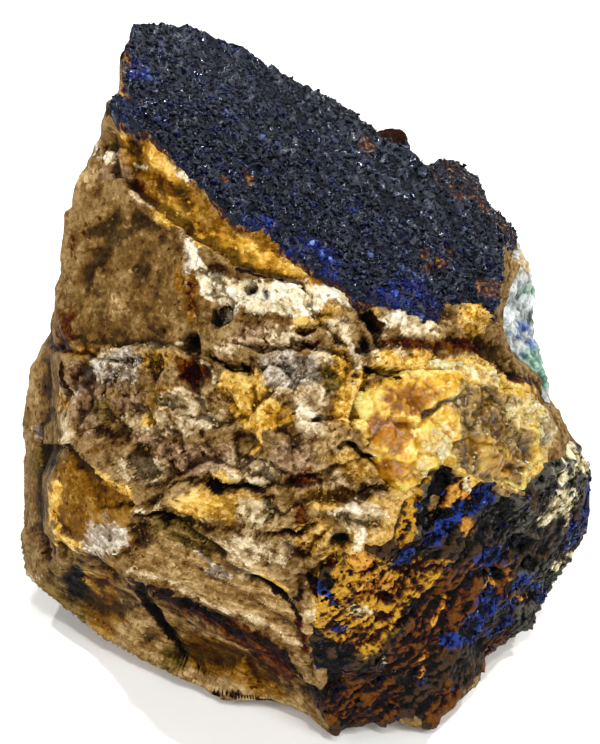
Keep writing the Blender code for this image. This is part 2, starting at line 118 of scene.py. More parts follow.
RIM = {
    "peak": on_bed(-15.2, 35.8),
    **numbered("crest", on_bed, [
        (-11.0, 34.8), (-5.5, 32.8), (0.0, 29.6), (4.5, 27.2), (9.5, 23.0), (12.0, 21.3),
    ]),
    **numbered("knob", seen, [
        (15.2, 21.5, -12.0), (17.5, 19.8, -12.0), (18.7, 17.2, -11.0), (20.4, 15.8, -11.5),
    ]),
    **numbered("side", seen, [
        (21.1, 13.3, -9.0), (22.8, 11.8, -8.0), (23.0, 9.0, -9.0), (22.9, 5.0, -10.0), (23.6, 2.6, -10.0),
        (24.8, -0.6, -8.0), (24.8, -2.2, -3.0),
    ]),
    **numbered("shoulder", seen, [
        (26.0, -4.4, -2.0), (28.0, -6.6, -4.0), (28.7, -10.8, -8.0), (28.5, -14.2, -12.0),
    ]),
    **numbered("foot", above_table, [
        (26.8, -18.0, 7.0), (24.5, -21.0, 5.0), (21.5, -25.5, 3.0), (19.0, -27.0, 3.0), (18.0, -30.2, 2.5),
        (15.5, -32.5, 4.0), (13.0, -34.8, 1.0), (11.5, -33.6, 3.0), (7.0, -34.2, 1.5),
    ]),
    "toe": above_table(2.5, -35.5, 1.0),
    **numbered("foot", above_table, [
        (0.0, -33.5, 1.5), (-3.0, -32.2, 1.5), (-7.5, -32.0, 1.5), (-12.0, -30.0, 1.5),
        (-17.0, -27.5, 2.0), (-21.0, -25.0, 2.5), (-25.0, -21.8, 4.0),
    ], 10),
    "heel": above_table(-27.5, -19.5, 5.0),
    **numbered("slab", seen, [
        (-28.1, -15.5, -15.0), (-27.8, -10.0, -14.0), (-27.8, -4.0, -13.0), (-26.8, 0.8, -12.0),
        (-25.0, 4.6, -9.0),
    ]),
    **numbered("flank", seen, [
        (-24.5, 9.0, 1.5), (-23.2, 14.5, 3.0), (-22.5, 19.5, 4.0), (-20.0, 24.0, 5.0),
    ]),
    **numbered("flank", on_bed, [(-18.7, 26.7), (-17.8, 29.5)], 5),
    "peak_left": on_bed(-16.9, 34.6),
}

FRONT = {
    # the edge between the azurite bed and the front
    **numbered("brow", on_bed, [
        (-15.0, 24.3), (-10.0, 19.2), (-6.8, 16.2), (-3.2, 14.5), (0.5, 11.5), (5.0, 8.8), (10.0, 6.8),
        (13.2, 5.8), (14.2, 8.0), (18.2, 7.7), (19.3, 5.6),
    ]),
    # the bed's right edge, and the knob behind it
    **numbered("bed", on_bed, [(19.7, 9.0), (20.4, 13.0), (17.5, 16.6), (15.0, 18.5)]),
    "knob_5": seen(16.6, 18.8, -7.0),
    # the right side, a step below the bed
    **numbered("strip", seen, [
        (20.9, 11.0, -3.0), (20.5, 8.0, -1.0), (20.3, 5.0, 1.0), (21.6, 3.0, 0.0), (23.4, 0.6, -3.0),
    ]),
    **numbered("edge", seen, [(20.2, 3.2, 6.5), (22.2, 0.8, 5.0)]),
    # the limonite band under the brow
    **numbered("band", seen, [
        (-17.2, 23.0, 7.5), (-15.0, 19.2, 9.0), (-10.0, 15.2, 11.5), (-3.8, 11.8, 13.8), (3.0, 7.7, 14.6),
        (7.0, 5.0, 13.8),
    ]),
    # the middle of the front
    **numbered("front", seen, [
        (-8.8, 8.0, 13.2), (-10.5, 3.0, 12.5), (-15.0, 3.0, 10.0), (-5.0, 2.0, 14.2), (0.0, 5.0, 14.6),
        (-5.0, -5.0, 13.6), (0.0, -5.0, 15.0), (0.0, -12.0, 15.2), (-6.0, -9.0, 14.6), (-15.0, -5.0, 9.5),
    ]),
    "ledge": seen(13.0, 3.5, 12.6),
    # the block's left edge, and the slab a step behind it
    "cleft": seen(-22.2, 3.5, 4.6),
    **numbered("left", seen, [
        (-23.9, 5.5, 2.5), (-23.4, 0.5, 4.0), (-23.7, -4.0, 4.0), (-23.4, -6.8, 4.5),
    ]),
    **numbered("inner", seen, [
        (-24.5, 3.4, -7.0), (-24.4, -2.0, -9.0), (-24.5, -6.0, -10.0), (-25.8, -9.4, -10.0),
        (-25.8, -15.2, -11.0),
    ]),
    # the corner lump
    **numbered("lump", seen, [
        (-25.0, -10.0, 2.5), (-25.0, -14.8, 1.5), (-22.8, -17.2, 3.0), (-20.0, -9.0, 8.0),
        (-17.0, -12.2, 10.0),
    ]),
    # the ledge's lip, and the wall set back under it
    **numbered("lip", seen, [
        (-18.5, -18.7, 5.0), (-16.0, -20.5, 5.5), (-10.0, -22.2, 6.5), (-5.0, -25.2, 6.5),
        (0.0, -28.8, 5.0), (1.2, -31.0, 2.0),
    ]),
    **numbered("under", seen, [
        (-23.4, -18.6, -7.0), (-18.8, -20.2, -3.0), (-16.0, -22.0, -3.0), (-10.5, -24.0, -1.5),
        (-5.5, -27.0, -1.0), (-0.5, -30.9, -0.8),
    ]),
    **numbered("crack", seen, [(-13.5, -24.5, -5.0), (-11.0, -28.0, -6.8)]),
    "wall_1": seen(-20.0, -22.6, -9.0),
    # the cream plate above the lip
    **numbered("plate", seen, [
        (-14.0, -13.5, 9.2), (-10.0, -16.5, 10.2), (-4.5, -20.0, 10.6), (0.5, -23.0, 10.4),
    ]),
    **numbered("step", seen, [(-12.5, -11.2, 11.6), (-8.5, -14.5, 13.2), (-3.5, -18.0, 13.2)]),
    # the outline and middle of the honey-coloured seam
    **numbered("honey", seen, [
        (5.2, -2.0, 14.2), (9.5, 0.5, 13.6), (12.5, 2.2, 12.6), (17.8, 1.8, 9.8), (22.6, -1.2, 6.0),
        (25.2, -4.6, 2.8), (24.8, -8.2, 5.0), (22.0, -11.0, 8.0), (17.0, -9.8, 11.0), (14.0, -8.4, 13.0),
        (9.8, -11.7, 14.2), (7.2, -7.0, 15.2), (15.0, -3.5, 13.2),
    ]),
    # the pitted crust at the lower right
    **numbered("pit", seen, [
        (1.0, -26.8, 8.0), (1.8, -20.5, 12.2), (5.2, -18.0, 13.6), (9.2, -16.0, 13.6), (14.0, -16.0, 10.6),
        (20.0, -15.0, 4.6), (15.0, -24.0, 3.8), (8.0, -26.0, 7.0), (24.5, -15.0, -2.0), (10.0, -31.0, 1.2),
        (21.0, -21.0, -1.5),
    ]),
}

BASE = {
    **numbered("base", behind, [
        (2.0, -18.5, 0.0), (11.0, -15.5, 0.0), (17.0, -6.0, 0.0), (21.0, 3.0, 0.0), (22.5, 12.0, 0.0),
        (16.0, 22.0, 0.0), (2.0, 25.0, 0.0), (-14.0, 23.0, 0.0), (-22.0, 16.0, 0.0), (-23.5, 6.0, 0.0),
        (-16.0, -4.0, 0.0), (-7.0, -12.0, 0.0), (-1.0, -15.0, 0.0),
    ]),
}

BACK = {
    **numbered("back", behind, [
        (-17.0, 27.0, 44.0), (-3.0, 28.0, 38.0), (10.0, 28.0, 30.0), (19.5, 22.0, 24.0),
        (-22.5, 20.0, 24.0), (-25.0, 18.0, 12.0), (-10.0, 30.0, 16.0), (8.0, 30.0, 12.0),
        (24.5, 12.0, 14.0), (-19.5, 18.0, 44.0), (-22.5, 12.0, 36.0),
    ]),
    "back_12": seen(12.4, 19.4, -16.0),
    **numbered("back", behind, [(-15.0, 25.5, 52.0), (-17.5, 27.5, 36.0)], 13),
    "back_15": above_table(12.6, -32.6, 0.8),
    "back_16": seen(19.2, 15.4, -16.0),
}

# Patches of the front that a crust grows on, as loops of corners.
PATCHES = {
    "azurite_druse": ["peak_left", "flank_6", "flank_5"]
    + [f"brow_{n}" for n in range(1, 12)]
    + ["bed_1", "bed_2", "side_1", "knob_4", "knob_3", "knob_2", "knob_1"]
    + [f"crest_{n}" for n in range(6, 0, -1)]
    + ["peak"],
    "honey_crystals": [f"honey_{n}" for n in range(1, 13)],
    "goethite_crust": [f"pit_{n}" for n in range(1, 5)]
    + [f"honey_{n}" for n in range(11, 6, -1)]
    + ["shoulder_2", "shoulder_3", "shoulder_4"]
    + [f"foot_{n}" for n in range(1, 10)]
    + ["toe"],
    "malachite_crust": [f"strip_{n}" for n in range(1, 6)] + [f"side_{n}" for n in range(7, 0, -1)],
}

# Edges of breaks that the faces between corners have to follow.
CREASES = [
    ["flank_5", "band_1", "band_2", "band_3", "band_4", "band_5", "band_6", "ledge", "edge_1"],
    ["band_3", "front_1", "front_2", "front_3", "cleft"],
    ["flank_1", "left_1", "cleft", "left_2", "left_3", "left_4", "lump_1", "lump_2", "lump_3"],
    ["lump_3", "lip_1", "lip_2", "lip_3", "lip_4", "lip_5", "lip_6", "toe"],
    ["slab_5", "inner_1", "inner_2", "inner_3", "inner_4", "inner_5", "under_1"],
    ["under_1", "under_2", "under_3", "under_4", "under_5", "under_6", "toe"],
    ["left_4", "lump_4", "lump_5", "plate_1", "plate_2", "plate_3", "plate_4", "pit_1"],
    ["lump_5", "step_1", "step_2", "step_3", "plate_4"],
    ["under_3", "crack_1", "crack_2", "foot_12"],
    ["edge_1", "edge_2", "side_7"],
    ["bed_2", "strip_1"],
    ["bed_4", "knob_5", "side_1"],
]


def picture_of(corner):
    """Where a corner looks to be in the display view."""
    return Vector(corner[:2] / sight_scale(corner[2]))


def round_back(corner):
    """Where a corner lies on a flat map of all directions from the core, with the far side in the map's
    middle."""
    away = (corner - CORE) / np.linalg.norm(corner - CORE)
    return Vector(away[:2] / (1.0 - away[2]))


def triangulated(corners, outline, creases, flat_map):
    """Delaunay triangles of the named corners inside the outline, with every crease kept as an edge."""
    names = list(corners)
    order = {name: index for index, name in enumerate(names)}
    flat = [flat_map(corners[name]) for name in names]
    edges = [(order[a], order[b]) for line in creases for a, b in zip(line, line[1:])]
    rim = [order[name] for name in outline]
    _, _, faces, sources, _, _ = delaunay_2d_cdt(flat, edges, [rim], 1, 1e-5)
    return [[names[sources[corner][0]] for corner in face] for face in faces]


def loop_of(names):
    """A closed line through the named corners."""
    return [*names, names[0]]


def inside(point, loop):
    """Whether a flat point is inside a loop of flat points: a ray from it crosses the loop an odd number of
    times."""
    crossings = 0
    for a, b in zip(loop, loop[1:] + loop[:1]):
        if (a.y > point.y) != (b.y > point.y):
            crossings += point.x < a.x + (point.y - a.y) * (b.x - a.x) / (b.y - a.y)
    return crossings % 2 == 1


def cage():
    """The cage: its corners by name, and its triangles as (three names, patch)."""
    front = {**RIM, **FRONT}
    back = {**RIM, **BASE, **BACK}
    triangles = []
    loops = {patch: [picture_of(front[name]) for name in names] for patch, names in PATCHES.items()}
    creases = CREASES + [loop_of(names) for names in PATCHES.values()]
    for names in triangulated(front, list(RIM), creases, picture_of):
        middle = sum((picture_of(front[name]) for name in names), Vector((0.0, 0.0))) / 3
        patch = next((p for p, loop in loops.items() if inside(middle, loop)), "front")
        triangles.append((names, patch))
    for names in triangulated(back, list(RIM), [loop_of(list(BASE))], round_back):
        triangles.append((names, "base" if all(name in BASE for name in names) else "back"))
    return {**front, **back}, triangles


# ---- Relief ----


def hashed(cells, seed):
    """A random number from 0 to 1 for each whole-numbered cell, the same on each run."""
    x, y, z = (cells[..., axis].astype(np.int64) for axis in range(3))
    mixed = (x * 73856093) ^ (y * 19349663) ^ (z * 83492791) ^ (seed * 2654435761)
    mixed = (mixed ^ (mixed >> 13)) * 1274126177 & 0xFFFFFFFF
    mixed = (mixed ^ (mixed >> 16)) * 2246822519 & 0xFFFFFFFF
    return ((mixed ^ (mixed >> 15)) & 0xFFFFFF) / float(0x1000000)


def swell(points, size, seed):
    """Smooth random relief from -1 to 1: random values at the corners of cells of this size, eased between
    them."""
    scaled = points / size
    cells = np.floor(scaled).astype(np.int64)
    share = scaled - cells
    share = share * share * (3.0 - 2.0 * share)
    total = np.zeros(len(points))
    for corner in np.ndindex(2, 2, 2):
        weight = np.prod(np.where(corner, share, 1.0 - share), axis=1)
        total += weight * hashed(cells + np.array(corner), seed)
    return 2.0 * total - 1.0


def grains(points, size, seed):
    """For each point, the distance to the nearest and the second nearest of randomly placed grains, in
    grain sizes, and a random number that the nearest grain owns."""
    scaled = points / size
    cells = np.floor(scaled).astype(np.int64)
    nearest = np.full(len(points), np.inf)
    second = np.full(len(points), np.inf)
    owner = np.zeros(len(points))
    for shift in np.ndindex(3, 3, 3):
        cell = cells + np.array(shift) - 1
        place = cell + np.stack([hashed(cell, seed + axis) for axis in range(3)], axis=1)
        far = np.linalg.norm(scaled - place, axis=1)
        second = np.minimum(second, np.maximum(nearest, far))
        owner = np.where(far < nearest, hashed(cell, seed + 7), owner)
        nearest = np.minimum(nearest, far)
    return nearest, second, owner


def ease(share):
    """0 below 0, 1 above 1, and the smooth curve 3s^2 - 2s^3 between."""
    share = np.clip(share, 0.0, 1.0)
    return share * share * (3.0 - 2.0 * share)


def scattered(cells, seed):
    """Three random numbers from 0 to 1 for each whole-numbered cell."""
    mixed = (hashed(cells, seed) * 0x1000000).astype(np.int64)
    return np.stack([(mixed >> shift & 255) / 255.0 for shift in (0, 8, 16)], axis=-1)


def facets(points, size, seed, ramp=0.16):
    """Broken flat faces from about -1 to 1: each random grain is a plane with its own height and tilt, and
    where two grains meet, one plane is eased into the other over the ramp, in grain sizes."""
    scaled = points / size
    cells = np.floor(scaled).astype(np.int64)
    near = np.full(len(points), np.inf)
    second = np.full(len(points), np.inf)
    level = np.zeros(len(points))
    other = np.zeros(len(points))
    for shift in np.ndindex(3, 3, 3):
        cell = cells + np.array(shift) - 1
        offset = scaled - cell - scattered(cell, seed)
        far = np.sqrt(np.einsum("ij,ij->i", offset, offset))
        tilt = 2.0 * scattered(cell, seed + 1) - 1.0
        height = np.einsum("ij,ij->i", offset, tilt) + 0.8 * (tilt[:, 0] + tilt[:, 1]) * 0.5
        closer = far < near
        between = ~closer & (far < second)
        second = np.where(closer, near, np.where(between, far, second))
        other = np.where(closer, level, np.where(between, height, other))
        near = np.where(closer, far, near)
        level = np.where(closer, height, level)
    share = ease(0.5 + (second - near) / (2.0 * ramp))
    return level * share + other * (1.0 - share)


def drift(points, size, seed):
    """Three swells at once: how far each point drifts along each axis, from -1 to 1."""
    return np.stack([swell(points, size, seed + axis) for axis in range(3)], axis=1)


# ---- The rock's surface, as a function of direction from the core ----

WAVER = ((0.5, 3.6, 301), (0.22, 1.3, 311))  # how far the breaks' edges wander, the size of it, and its seed
WAVER_REACH = 26.0
HOLLOWS = (0.55, 9.0, 11)  # relief as height, size and seed, the same as in the solids
CHIPS = (0.5, 3.6, 12)
OUTLINE_SHARE = 0.35
OUTLINE_FADE = 2.5
BED_SHARE = 0.3
CALM_SHARE = 0.6  # how much less relief the flat breaks of the front have
FACET_SIZES = ((0.8, 5.2, 401), (0.34, 2.3, 411), (0.1, 1.05, 421), (0.04, 0.55, 426))
FINE_SIZES = ((0.03, 0.4, 431),)
NEAR_WEAR_AND_SHADE, WIDE_WEAR_AND_SHADE = 0.1, 0.35  # heights above the surroundings at which an edge counts as well worn, or a hollow as fully in painted shade
UNDER_CRUST = 0.7  # how far the rock lies below its own outer form under a crust


def unit(vectors):
    """Vectors divided by their own lengths."""
    return vectors / np.linalg.norm(vectors, axis=-1, keepdims=True)


def cage_planes():
    """The cage's triangles as arrays: each one's outward normal, its plane's reach, its three side planes,
    region."""
    corners, triangles = cage()
    a, b, c = (np.array([corners[names[n]] - CORE for names, _ in triangles]) for n in range(3))
    inward = np.einsum("ij,ij->i", np.cross(a, b), c) < 0
    b[inward], c[inward] = c[inward], b[inward].copy()
    normals = unit(np.cross(b - a, c - a))
    sides = np.stack([unit(np.cross(a, b)), unit(np.cross(b, c)), unit(np.cross(c, a))], axis=1)
    regions = np.array([REGIONS.index(region) for _, region in triangles])
    return normals, np.einsum("ij,ij->i", normals, a), sides, regions


REGIONS = ["front", "azurite_druse", "honey_crystals", "goethite_crust", "malachite_crust", "back", "base"]
CAGE = cage_planes()
CORNERS = cage()[0]
CHUNK = 8192  # directions worked on at once


def cage_reach(away):
    """How far the cage is from the core along each direction, with the triangle that it meets there: the
    one whose three side planes all face the direction. reach = plane's reach / (normal . direction)."""
    normals, reaches, sides, _ = CAGE
    flat = sides.reshape(-1, 3).T
    met = np.concatenate(
        [
            (part @ flat).reshape(len(part), -1, 3).min(axis=2).argmax(axis=1)
            for part in np.array_split(away, max(1, len(away) // CHUNK))
        ]
    )
    return reaches[met] / np.einsum("ij,ij->i", normals[met], away), met


def table_reach(away):
    """How far the table is from the core along each direction, and a long way where the direction rises."""
    core_height = height_above_table(CORE[None])[0]
    falling = -(away[:, 1] * math.cos(LEAN) + away[:, 2] * math.sin(LEAN))
    return np.where(falling > 1e-3, core_height / np.maximum(falling, 1e-3), 1e3)


def height_above_table(points):
    """up x cos(lean) + depth x sin(lean) + the origin's own height."""
    return points[:, 1] * math.cos(LEAN) + points[:, 2] * math.sin(LEAN) + HEART_HEIGHT


def distance_to(points, line):
    """Each point's distance to an open line of points, in two or three dimensions."""
    nearest = np.full(len(points), np.inf)
    for start, end in zip(line, line[1:]):
        along = end - start
        share = np.clip((points - start) @ along / (along @ along), 0.0, 1.0)
        nearest = np.minimum(nearest, np.linalg.norm(points - start - share[:, None] * along, axis=1))
    return nearest


def beside(places, line):
    """Each flat place's distance to an open line, above 0 to the left of it and below 0 to the right."""
    nearest = np.full(len(places), np.inf)
    signed = np.zeros(len(places))
    for start, end in zip(line, line[1:]):
        along = end - start
        off = places - start
        share = np.clip(off @ along / (along @ along), 0.0, 1.0)
        far = np.linalg.norm(off - share[:, None] * along, axis=1)
        left = np.where(along[0] * off[:, 1] - along[1] * off[:, 0] > 0, 1.0, -1.0)
        signed = np.where(far < nearest, far * left, signed)
        nearest = np.minimum(nearest, far)
    return signed


def within(places, loop):
    """Which flat places are inside a closed loop: a ray from them crosses it an odd number of times."""
    crossings = np.zeros(len(places), int)
    for (ax, ay), (bx, by) in zip(loop, loop[1:]):
        spans = (ay > places[:, 1]) != (by > places[:, 1])
        crossing = ax + (places[:, 1] - ay) * (bx - ax) / ((by - ay) or 1e-12)
        crossings += spans & (places[:, 0] < crossing)
    return crossings % 2 == 1


def depth_inside(places, loop):
    """Distance to a closed loop of flat points, above 0 inside it and below 0 outside."""
    loop = np.array([*loop, loop[0]], float)
    return distance_to(places, loop) * np.where(within(places, loop), 1.0, -1.0)


RIM_LINE = np.array([*RIM.values(), next(iter(RIM.values()))])
CREST_NAMES = ["peak", *(f"crest_{n}" for n in range(1, 7)), "knob_1", "knob_2"]
CREST_LINE = np.array([RIM[name] for name in CREST_NAMES])
LOW_RISE = 7.0  # the relief grows up to its full height this far above the table
LOW_SHARE = 0.2  # and this is its share at the table
FOOT_ROUNDING = 0.5  # the width over which the rock turns into its flat underside
CREST_FINENESS = 12.0  # the azurite grows coarser up to this far from the crest
CREST_REACH = 4.5  # how near the crest the rock is thin and dark


def rock_form(away):
    """Reach of the weathered rock along each direction, and the cage triangle met: the cage with edges that
    wander, plus hollows and chips, less of them near the outline and on the azurite bed, cut off flat at
    the table."""
    home = WAVER_REACH * away
    wandered = home + sum(height * drift(home, size, seed) for height, size, seed in WAVER)
    reach, met = cage_reach(unit(wandered))
    region = CAGE[3][met]
    points = CORE + reach[:, None] * away
    share = OUTLINE_SHARE + (1.0 - OUTLINE_SHARE) * ease(distance_to(points, RIM_LINE) / OUTLINE_FADE)
    share = np.where(region == REGIONS.index("azurite_druse"), np.minimum(share, BED_SHARE), share)
    share = share * (1.0 - CALM_SHARE * facing_share(away) * laid(view_places(points), CALM, fade=1.2))
    relief = sum(height * swell(points, size, seed) for height, size, seed in (HOLLOWS, CHIPS))
    reach = np.where(region == REGIONS.index("base"), reach * 1.1, reach + share * relief)
    return np.minimum(reach, table_reach(away)), met, share


class Chart:
    """A flat map of the directions through a patch, in millimetres, on the plane through the patch's
    corners."""

    def __init__(self, patch):
        """The plane's normal and distance, its two directions, and the patch's loop on it."""
        corners = np.array([CORNERS[name] - CORE for name in PATCHES[patch]])
        self.normal = unit(sum(np.cross(a, b) for a, b in zip(corners, np.roll(corners, -1, axis=0))))
        if corners.mean(axis=0) @ self.normal < 0:
            self.normal = -self.normal
        self.distance = (corners @ self.normal).mean()
        self.right = unit(np.cross([0.0, 1.0, 0.0], self.normal))
        self.up = np.cross(self.normal, self.right)
        self.loop = self.places(unit(corners))

    def places(self, away):
        """Where each direction meets the chart, and far off the chart if it points away from it."""
        facing = away @ self.normal
        scaled = away * (self.distance / np.maximum(facing, 0.2))[:, None]
        flat = np.stack([scaled @ self.right, scaled @ self.up], axis=1)
        return np.where((facing > 0.2)[:, None], flat, 1e3)

    def directions(self, places):
        """The direction through each flat place."""
        return unit(self.distance * self.normal + places[:, :1] * self.right + places[:, 1:] * self.up)

    def depth_inside(self, away, ragged=0.0):
        """How far inside the patch each direction is, below 0 outside, with a border that wanders by
        `ragged`."""
        depth = depth_inside(self.places(away), self.loop)
        if not ragged:
            return depth
        home = WAVER_REACH * away
        wander = swell(home, 2.6, 321) + 0.6 * swell(home, 1.0, 322) + 0.35 * swell(home, 0.45, 323)
        return depth + ragged * wander


CHARTS = {patch: Chart(patch) for patch in PATCHES}
# how far each crust reaches past its patch, and how ragged its border is
CRUST_EDGE = {
    "azurite_druse": (0.45, 0.5),
    "honey_crystals": (0.1, 0.7),
    "goethite_crust": (0.3, 0.9),
    "malachite_crust": (0.1, 0.7),
}


def crust_depth(patch, away):
    """How far inside its own ragged edge a crust is along each direction, below 0 outside it."""
    past, ragged = CRUST_EDGE[patch]
    return CHARTS[patch].depth_inside(away, ragged) + past


# ---- Named places on the front, in the display view ----

CRACKS = [
    # depth, half-width, and the line
    (0.5, 0.40, [(-15.7, -21.0), (-14.4, -23.5), (-12.3, -26.5), (-9.6, -29.4), (-7.8, -31.2)]),
    (0.7, 0.35, [(-14.7, -13.2), (-12.5, -14.0), (-10.0, -15.5), (-7.3, -17.3)]),
    (0.5, 0.40, [(-9.4, -10.2), (-7.8, -11.0), (-5.7, -11.1)]),
    (0.8, 0.35, [(-9.1, 2.5), (-7.9, 1.8), (-6.7, 1.1), (-4.8, 0.8)]),
    (0.5, 0.30, [(-0.4, 5.2), (2.0, 5.5)]),
    (0.6, 0.30, [(-0.8, 4.2), (1.2, 3.7)]),
    (0.9, 0.40, [(5.8, 7.9), (7.0, 6.0), (8.2, 3.8)]),
    (0.8, 0.40, [(6.0, 0.3), (8.5, 1.2), (10.9, 0.7)]),
    (0.9, 0.35, [(4.0, -6.7), (4.8, -6.5), (7.0, -7.9), (8.6, -8.9), (9.5, -10.4)]),
    (0.5, 0.30, [(-5.1, -19.7), (-3.0, -20.5), (-1.4, -21.6)]),
    (0.6, 0.30, [(-3.2, -15.1), (0.0, -15.3), (1.6, -14.4)]),
    (0.6, 0.30, [(-23.2, 3.0), (-19.5, 1.9), (-16.0, 2.2)]),
    (0.5, 0.25, [(6.5, -10.6), (7.6, -11.2), (8.8, -11.0)]),
]
STEPS = [
    # height, how far its swell reaches, and the line; the side to the left of the line stands up
    (0.56, 1.8, [(-1.1, 9.5), (-6.2, 11.4), (-11.8, 14.7), (-14.4, 16.6), (-16.8, 18.8)]),
    (0.48, 1.6, [(-17.4, 1.6), (-20.0, 2.2), (-22.4, 2.7)]),
    (0.48, 1.5, [(-11.8, 3.0), (-14.6, 3.5), (-17.3, 3.6)]),
    (0.64, 1.6, [(-5.0, -9.7), (-7.2, -8.9), (-9.4, -8.3), (-11.4, -9.4)]),
    (0.72, 1.8, [(-2.6, -10.8), (-4.6, -10.9), (-7.0, -11.3), (-9.8, -10.2), (-12.0, -10.6)]),
    (0.64, 1.8, [(-23.8, -6.7), (-21.9, -7.7), (-19.3, -10.0), (-16.9, -12.5)]),
    (0.56, 1.5, [(-12.6, -11.0), (-15.0, -12.3), (-17.0, -12.7)]),
    (0.56, 1.6, [(-6.6, -15.4), (-9.4, -15.0), (-12.6, -14.2)]),
    (0.56, 1.5, [(4.2, -12.6), (1.4, -12.2), (-2.2, -13.6)]),
    (0.48, 1.4, [(-3.0, -2.0), (-5.2, -4.3), (-8.0, -4.8), (-10.6, -3.9)]),
    (0.48, 1.4, [(3.2, 2.4), (0.6, 3.2), (-3.0, 2.6), (-5.4, 3.2)]),
    (0.56, 1.5, [(23.6, -1.6), (21.4, 0.1), (19.4, 1.1), (17.6, 2.9)]),
    (0.48, 1.4, [(6.6, 3.2), (3.6, 3.4), (1.8, 5.8)]),
    (0.48, 1.4, [(8.4, -5.6), (6.2, -3.6), (3.4, -3.9)]),
    (0.48, 1.4, [(6.8, -14.6), (3.8, -14.6), (1.8, -16.6)]),
    (0.48, 1.5, [(-2.6, -8.2), (0.8, -9.2), (4.0, -8.4)]),
]
HOLES = [
    # middle, radii and depth of small pits
    ((-7.9, 6.8), (0.8, 1.2), 0.9),
    ((-11.1, 3.8), (0.8, 1.3), 0.7),
    ((-12.5, -2.5), (1.4, 0.8), 0.3),
    ((-5.1, 9.3), (0.6, 0.5), 0.5),
    ((-9.7, -5.3), (0.4, 0.4), 0.5),
    ((4.0, -16.0), (0.8, 0.9), 0.9),
]
LEFT_FACET = [
    (-18.6, 22.6), (-15.0, 19.6), (-11.8, 15.0), (-9.8, 8.2), (-11.4, 3.6), (-16.0, 2.8), (-22.2, 3.6),
    (-24.4, 9.0), (-23.2, 15.0), (-22.4, 19.5),
]
PLATE = [
    (-16.9, -18.3), (-13.4, -13.6), (-8.0, -15.6), (-3.0, -18.6), (1.0, -22.4), (0.9, -28.5), (-5.5, -24.2),
    (-9.4, -22.1), (-16.9, -19.9),
]
WALL = [
    (-23.0, -19.0), (-18.0, -20.5), (-14.4, -22.5), (-8.5, -25.0), (-2.0, -28.0), (0.5, -31.5),
    (2.0, -35.8), (-4.0, -33.5), (-12.0, -30.6), (-20.5, -26.0), (-28.0, -20.0),
]
LAYERED = [
    (-17.0, -10.0), (-9.0, -9.8), (-1.0, -9.6), (4.0, -11.5), (3.2, -17.5), (1.6, -21.0), (1.0, -27.6),
    (-5.5, -24.6), (-16.9, -20.2),
]
LAYER_DIP = math.radians(-31.0)  # the layers run down to the right
LAYER_PITCH = 2.3
LAYER_STEP = 0.2


def view_places(points):
    """Where points look to be in the display view."""
    return points[:, :2] / sight_scale(points[:, 2])[:, None]


def laid(places, loops=(), spots=(), lines=(), fade=1.1):
    """A cover from 0 to 1: 1 inside the loops, the round spots (x, y, two radii) and the lines (half-width,
    places), eased at their borders."""
    cover = np.zeros(len(places))
    for half, line in lines:
        off = half - distance_to(places, np.array(line))
        cover = np.maximum(cover, ease(0.5 + off / (2.0 * min(fade, half))))
    for loop in loops:
        cover = np.maximum(cover, ease(0.5 + depth_inside(places, loop) / (2.0 * fade)))
    for x, y, wide, tall in spots:
        off = np.hypot((places[:, 0] - x) / wide, (places[:, 1] - y) / tall)
        cover = np.maximum(cover, ease(0.5 + (1.0 - off) * min(wide, tall) / (2.0 * fade)))
    return cover


def wandering(places, points, amount=1.0):
    """The places moved by a random drift, so that borders laid on them come out ragged."""
    drifts = 0.8 * drift(points, 3.4, 331) + 0.5 * drift(points, 1.3, 341) + 0.25 * drift(points, 0.6, 344)
    return places + amount * drifts[:, :2]


FRONT_LIMIT, FRONT_FADE = -0.42, 0.2  # depth of the direction where the front ends, and how softly


def facing_share(away):
    """1 where the surface looks out at the front, 0 round the back."""
    return ease((away[:, 2] - FRONT_LIMIT) / FRONT_FADE)


def layered(points):
    """Thin broken layers, dipping to the right: each rises towards its lower edge and then drops in a
    ledge."""
    across = -points[:, 0] * math.sin(LAYER_DIP) + points[:, 1] * math.cos(LAYER_DIP)
    across = across + 0.7 * swell(points, 5.0, 351) + 0.25 * swell(points, 1.4, 352)
    stage = np.mod(across / LAYER_PITCH, 1.0)
    return (1.0 - stage) * ease(stage / 0.12) - 0.45


def rock_detail(points, away, places, share):
    """The rock's fine relief: facets in three sizes, rough in the middle and smooth on the flat breaks, the
    layers of the plate, cracks and small pits."""
    front = facing_share(away)
    wandered = wandering(places, points, 0.6)
    calm = front * laid(wandered, CALM, fade=1.2)
    rough = (1.0 - 0.72 * calm) * (0.45 + 0.55 * share)
    relief = sum(height * facets(points, size, seed) for height, size, seed in FACET_SIZES) * rough
    relief += sum(height * swell(points, size, seed) for height, size, seed in FINE_SIZES)
    relief += LAYER_STEP * front * laid(wandered, [LAYERED], fade=1.2) * layered(points)
    for depth, half, line in CRACKS:
        off = distance_to(wandering(places, points, 0.45), np.array(line))
        relief -= depth * front * np.exp(-((off / half) ** 2))
    for height, reach, line in STEPS:
        off = beside(wandering(places, points, 0.6), np.array(line))
        relief += front * height * np.tanh(off / 0.22) * np.exp(-abs(off) / reach)
    for (x, y), (wide, tall), depth in HOLES:
        relief -= depth * front * laid(wandered, spots=[(x, y, wide, tall)], fade=0.35)
    return relief


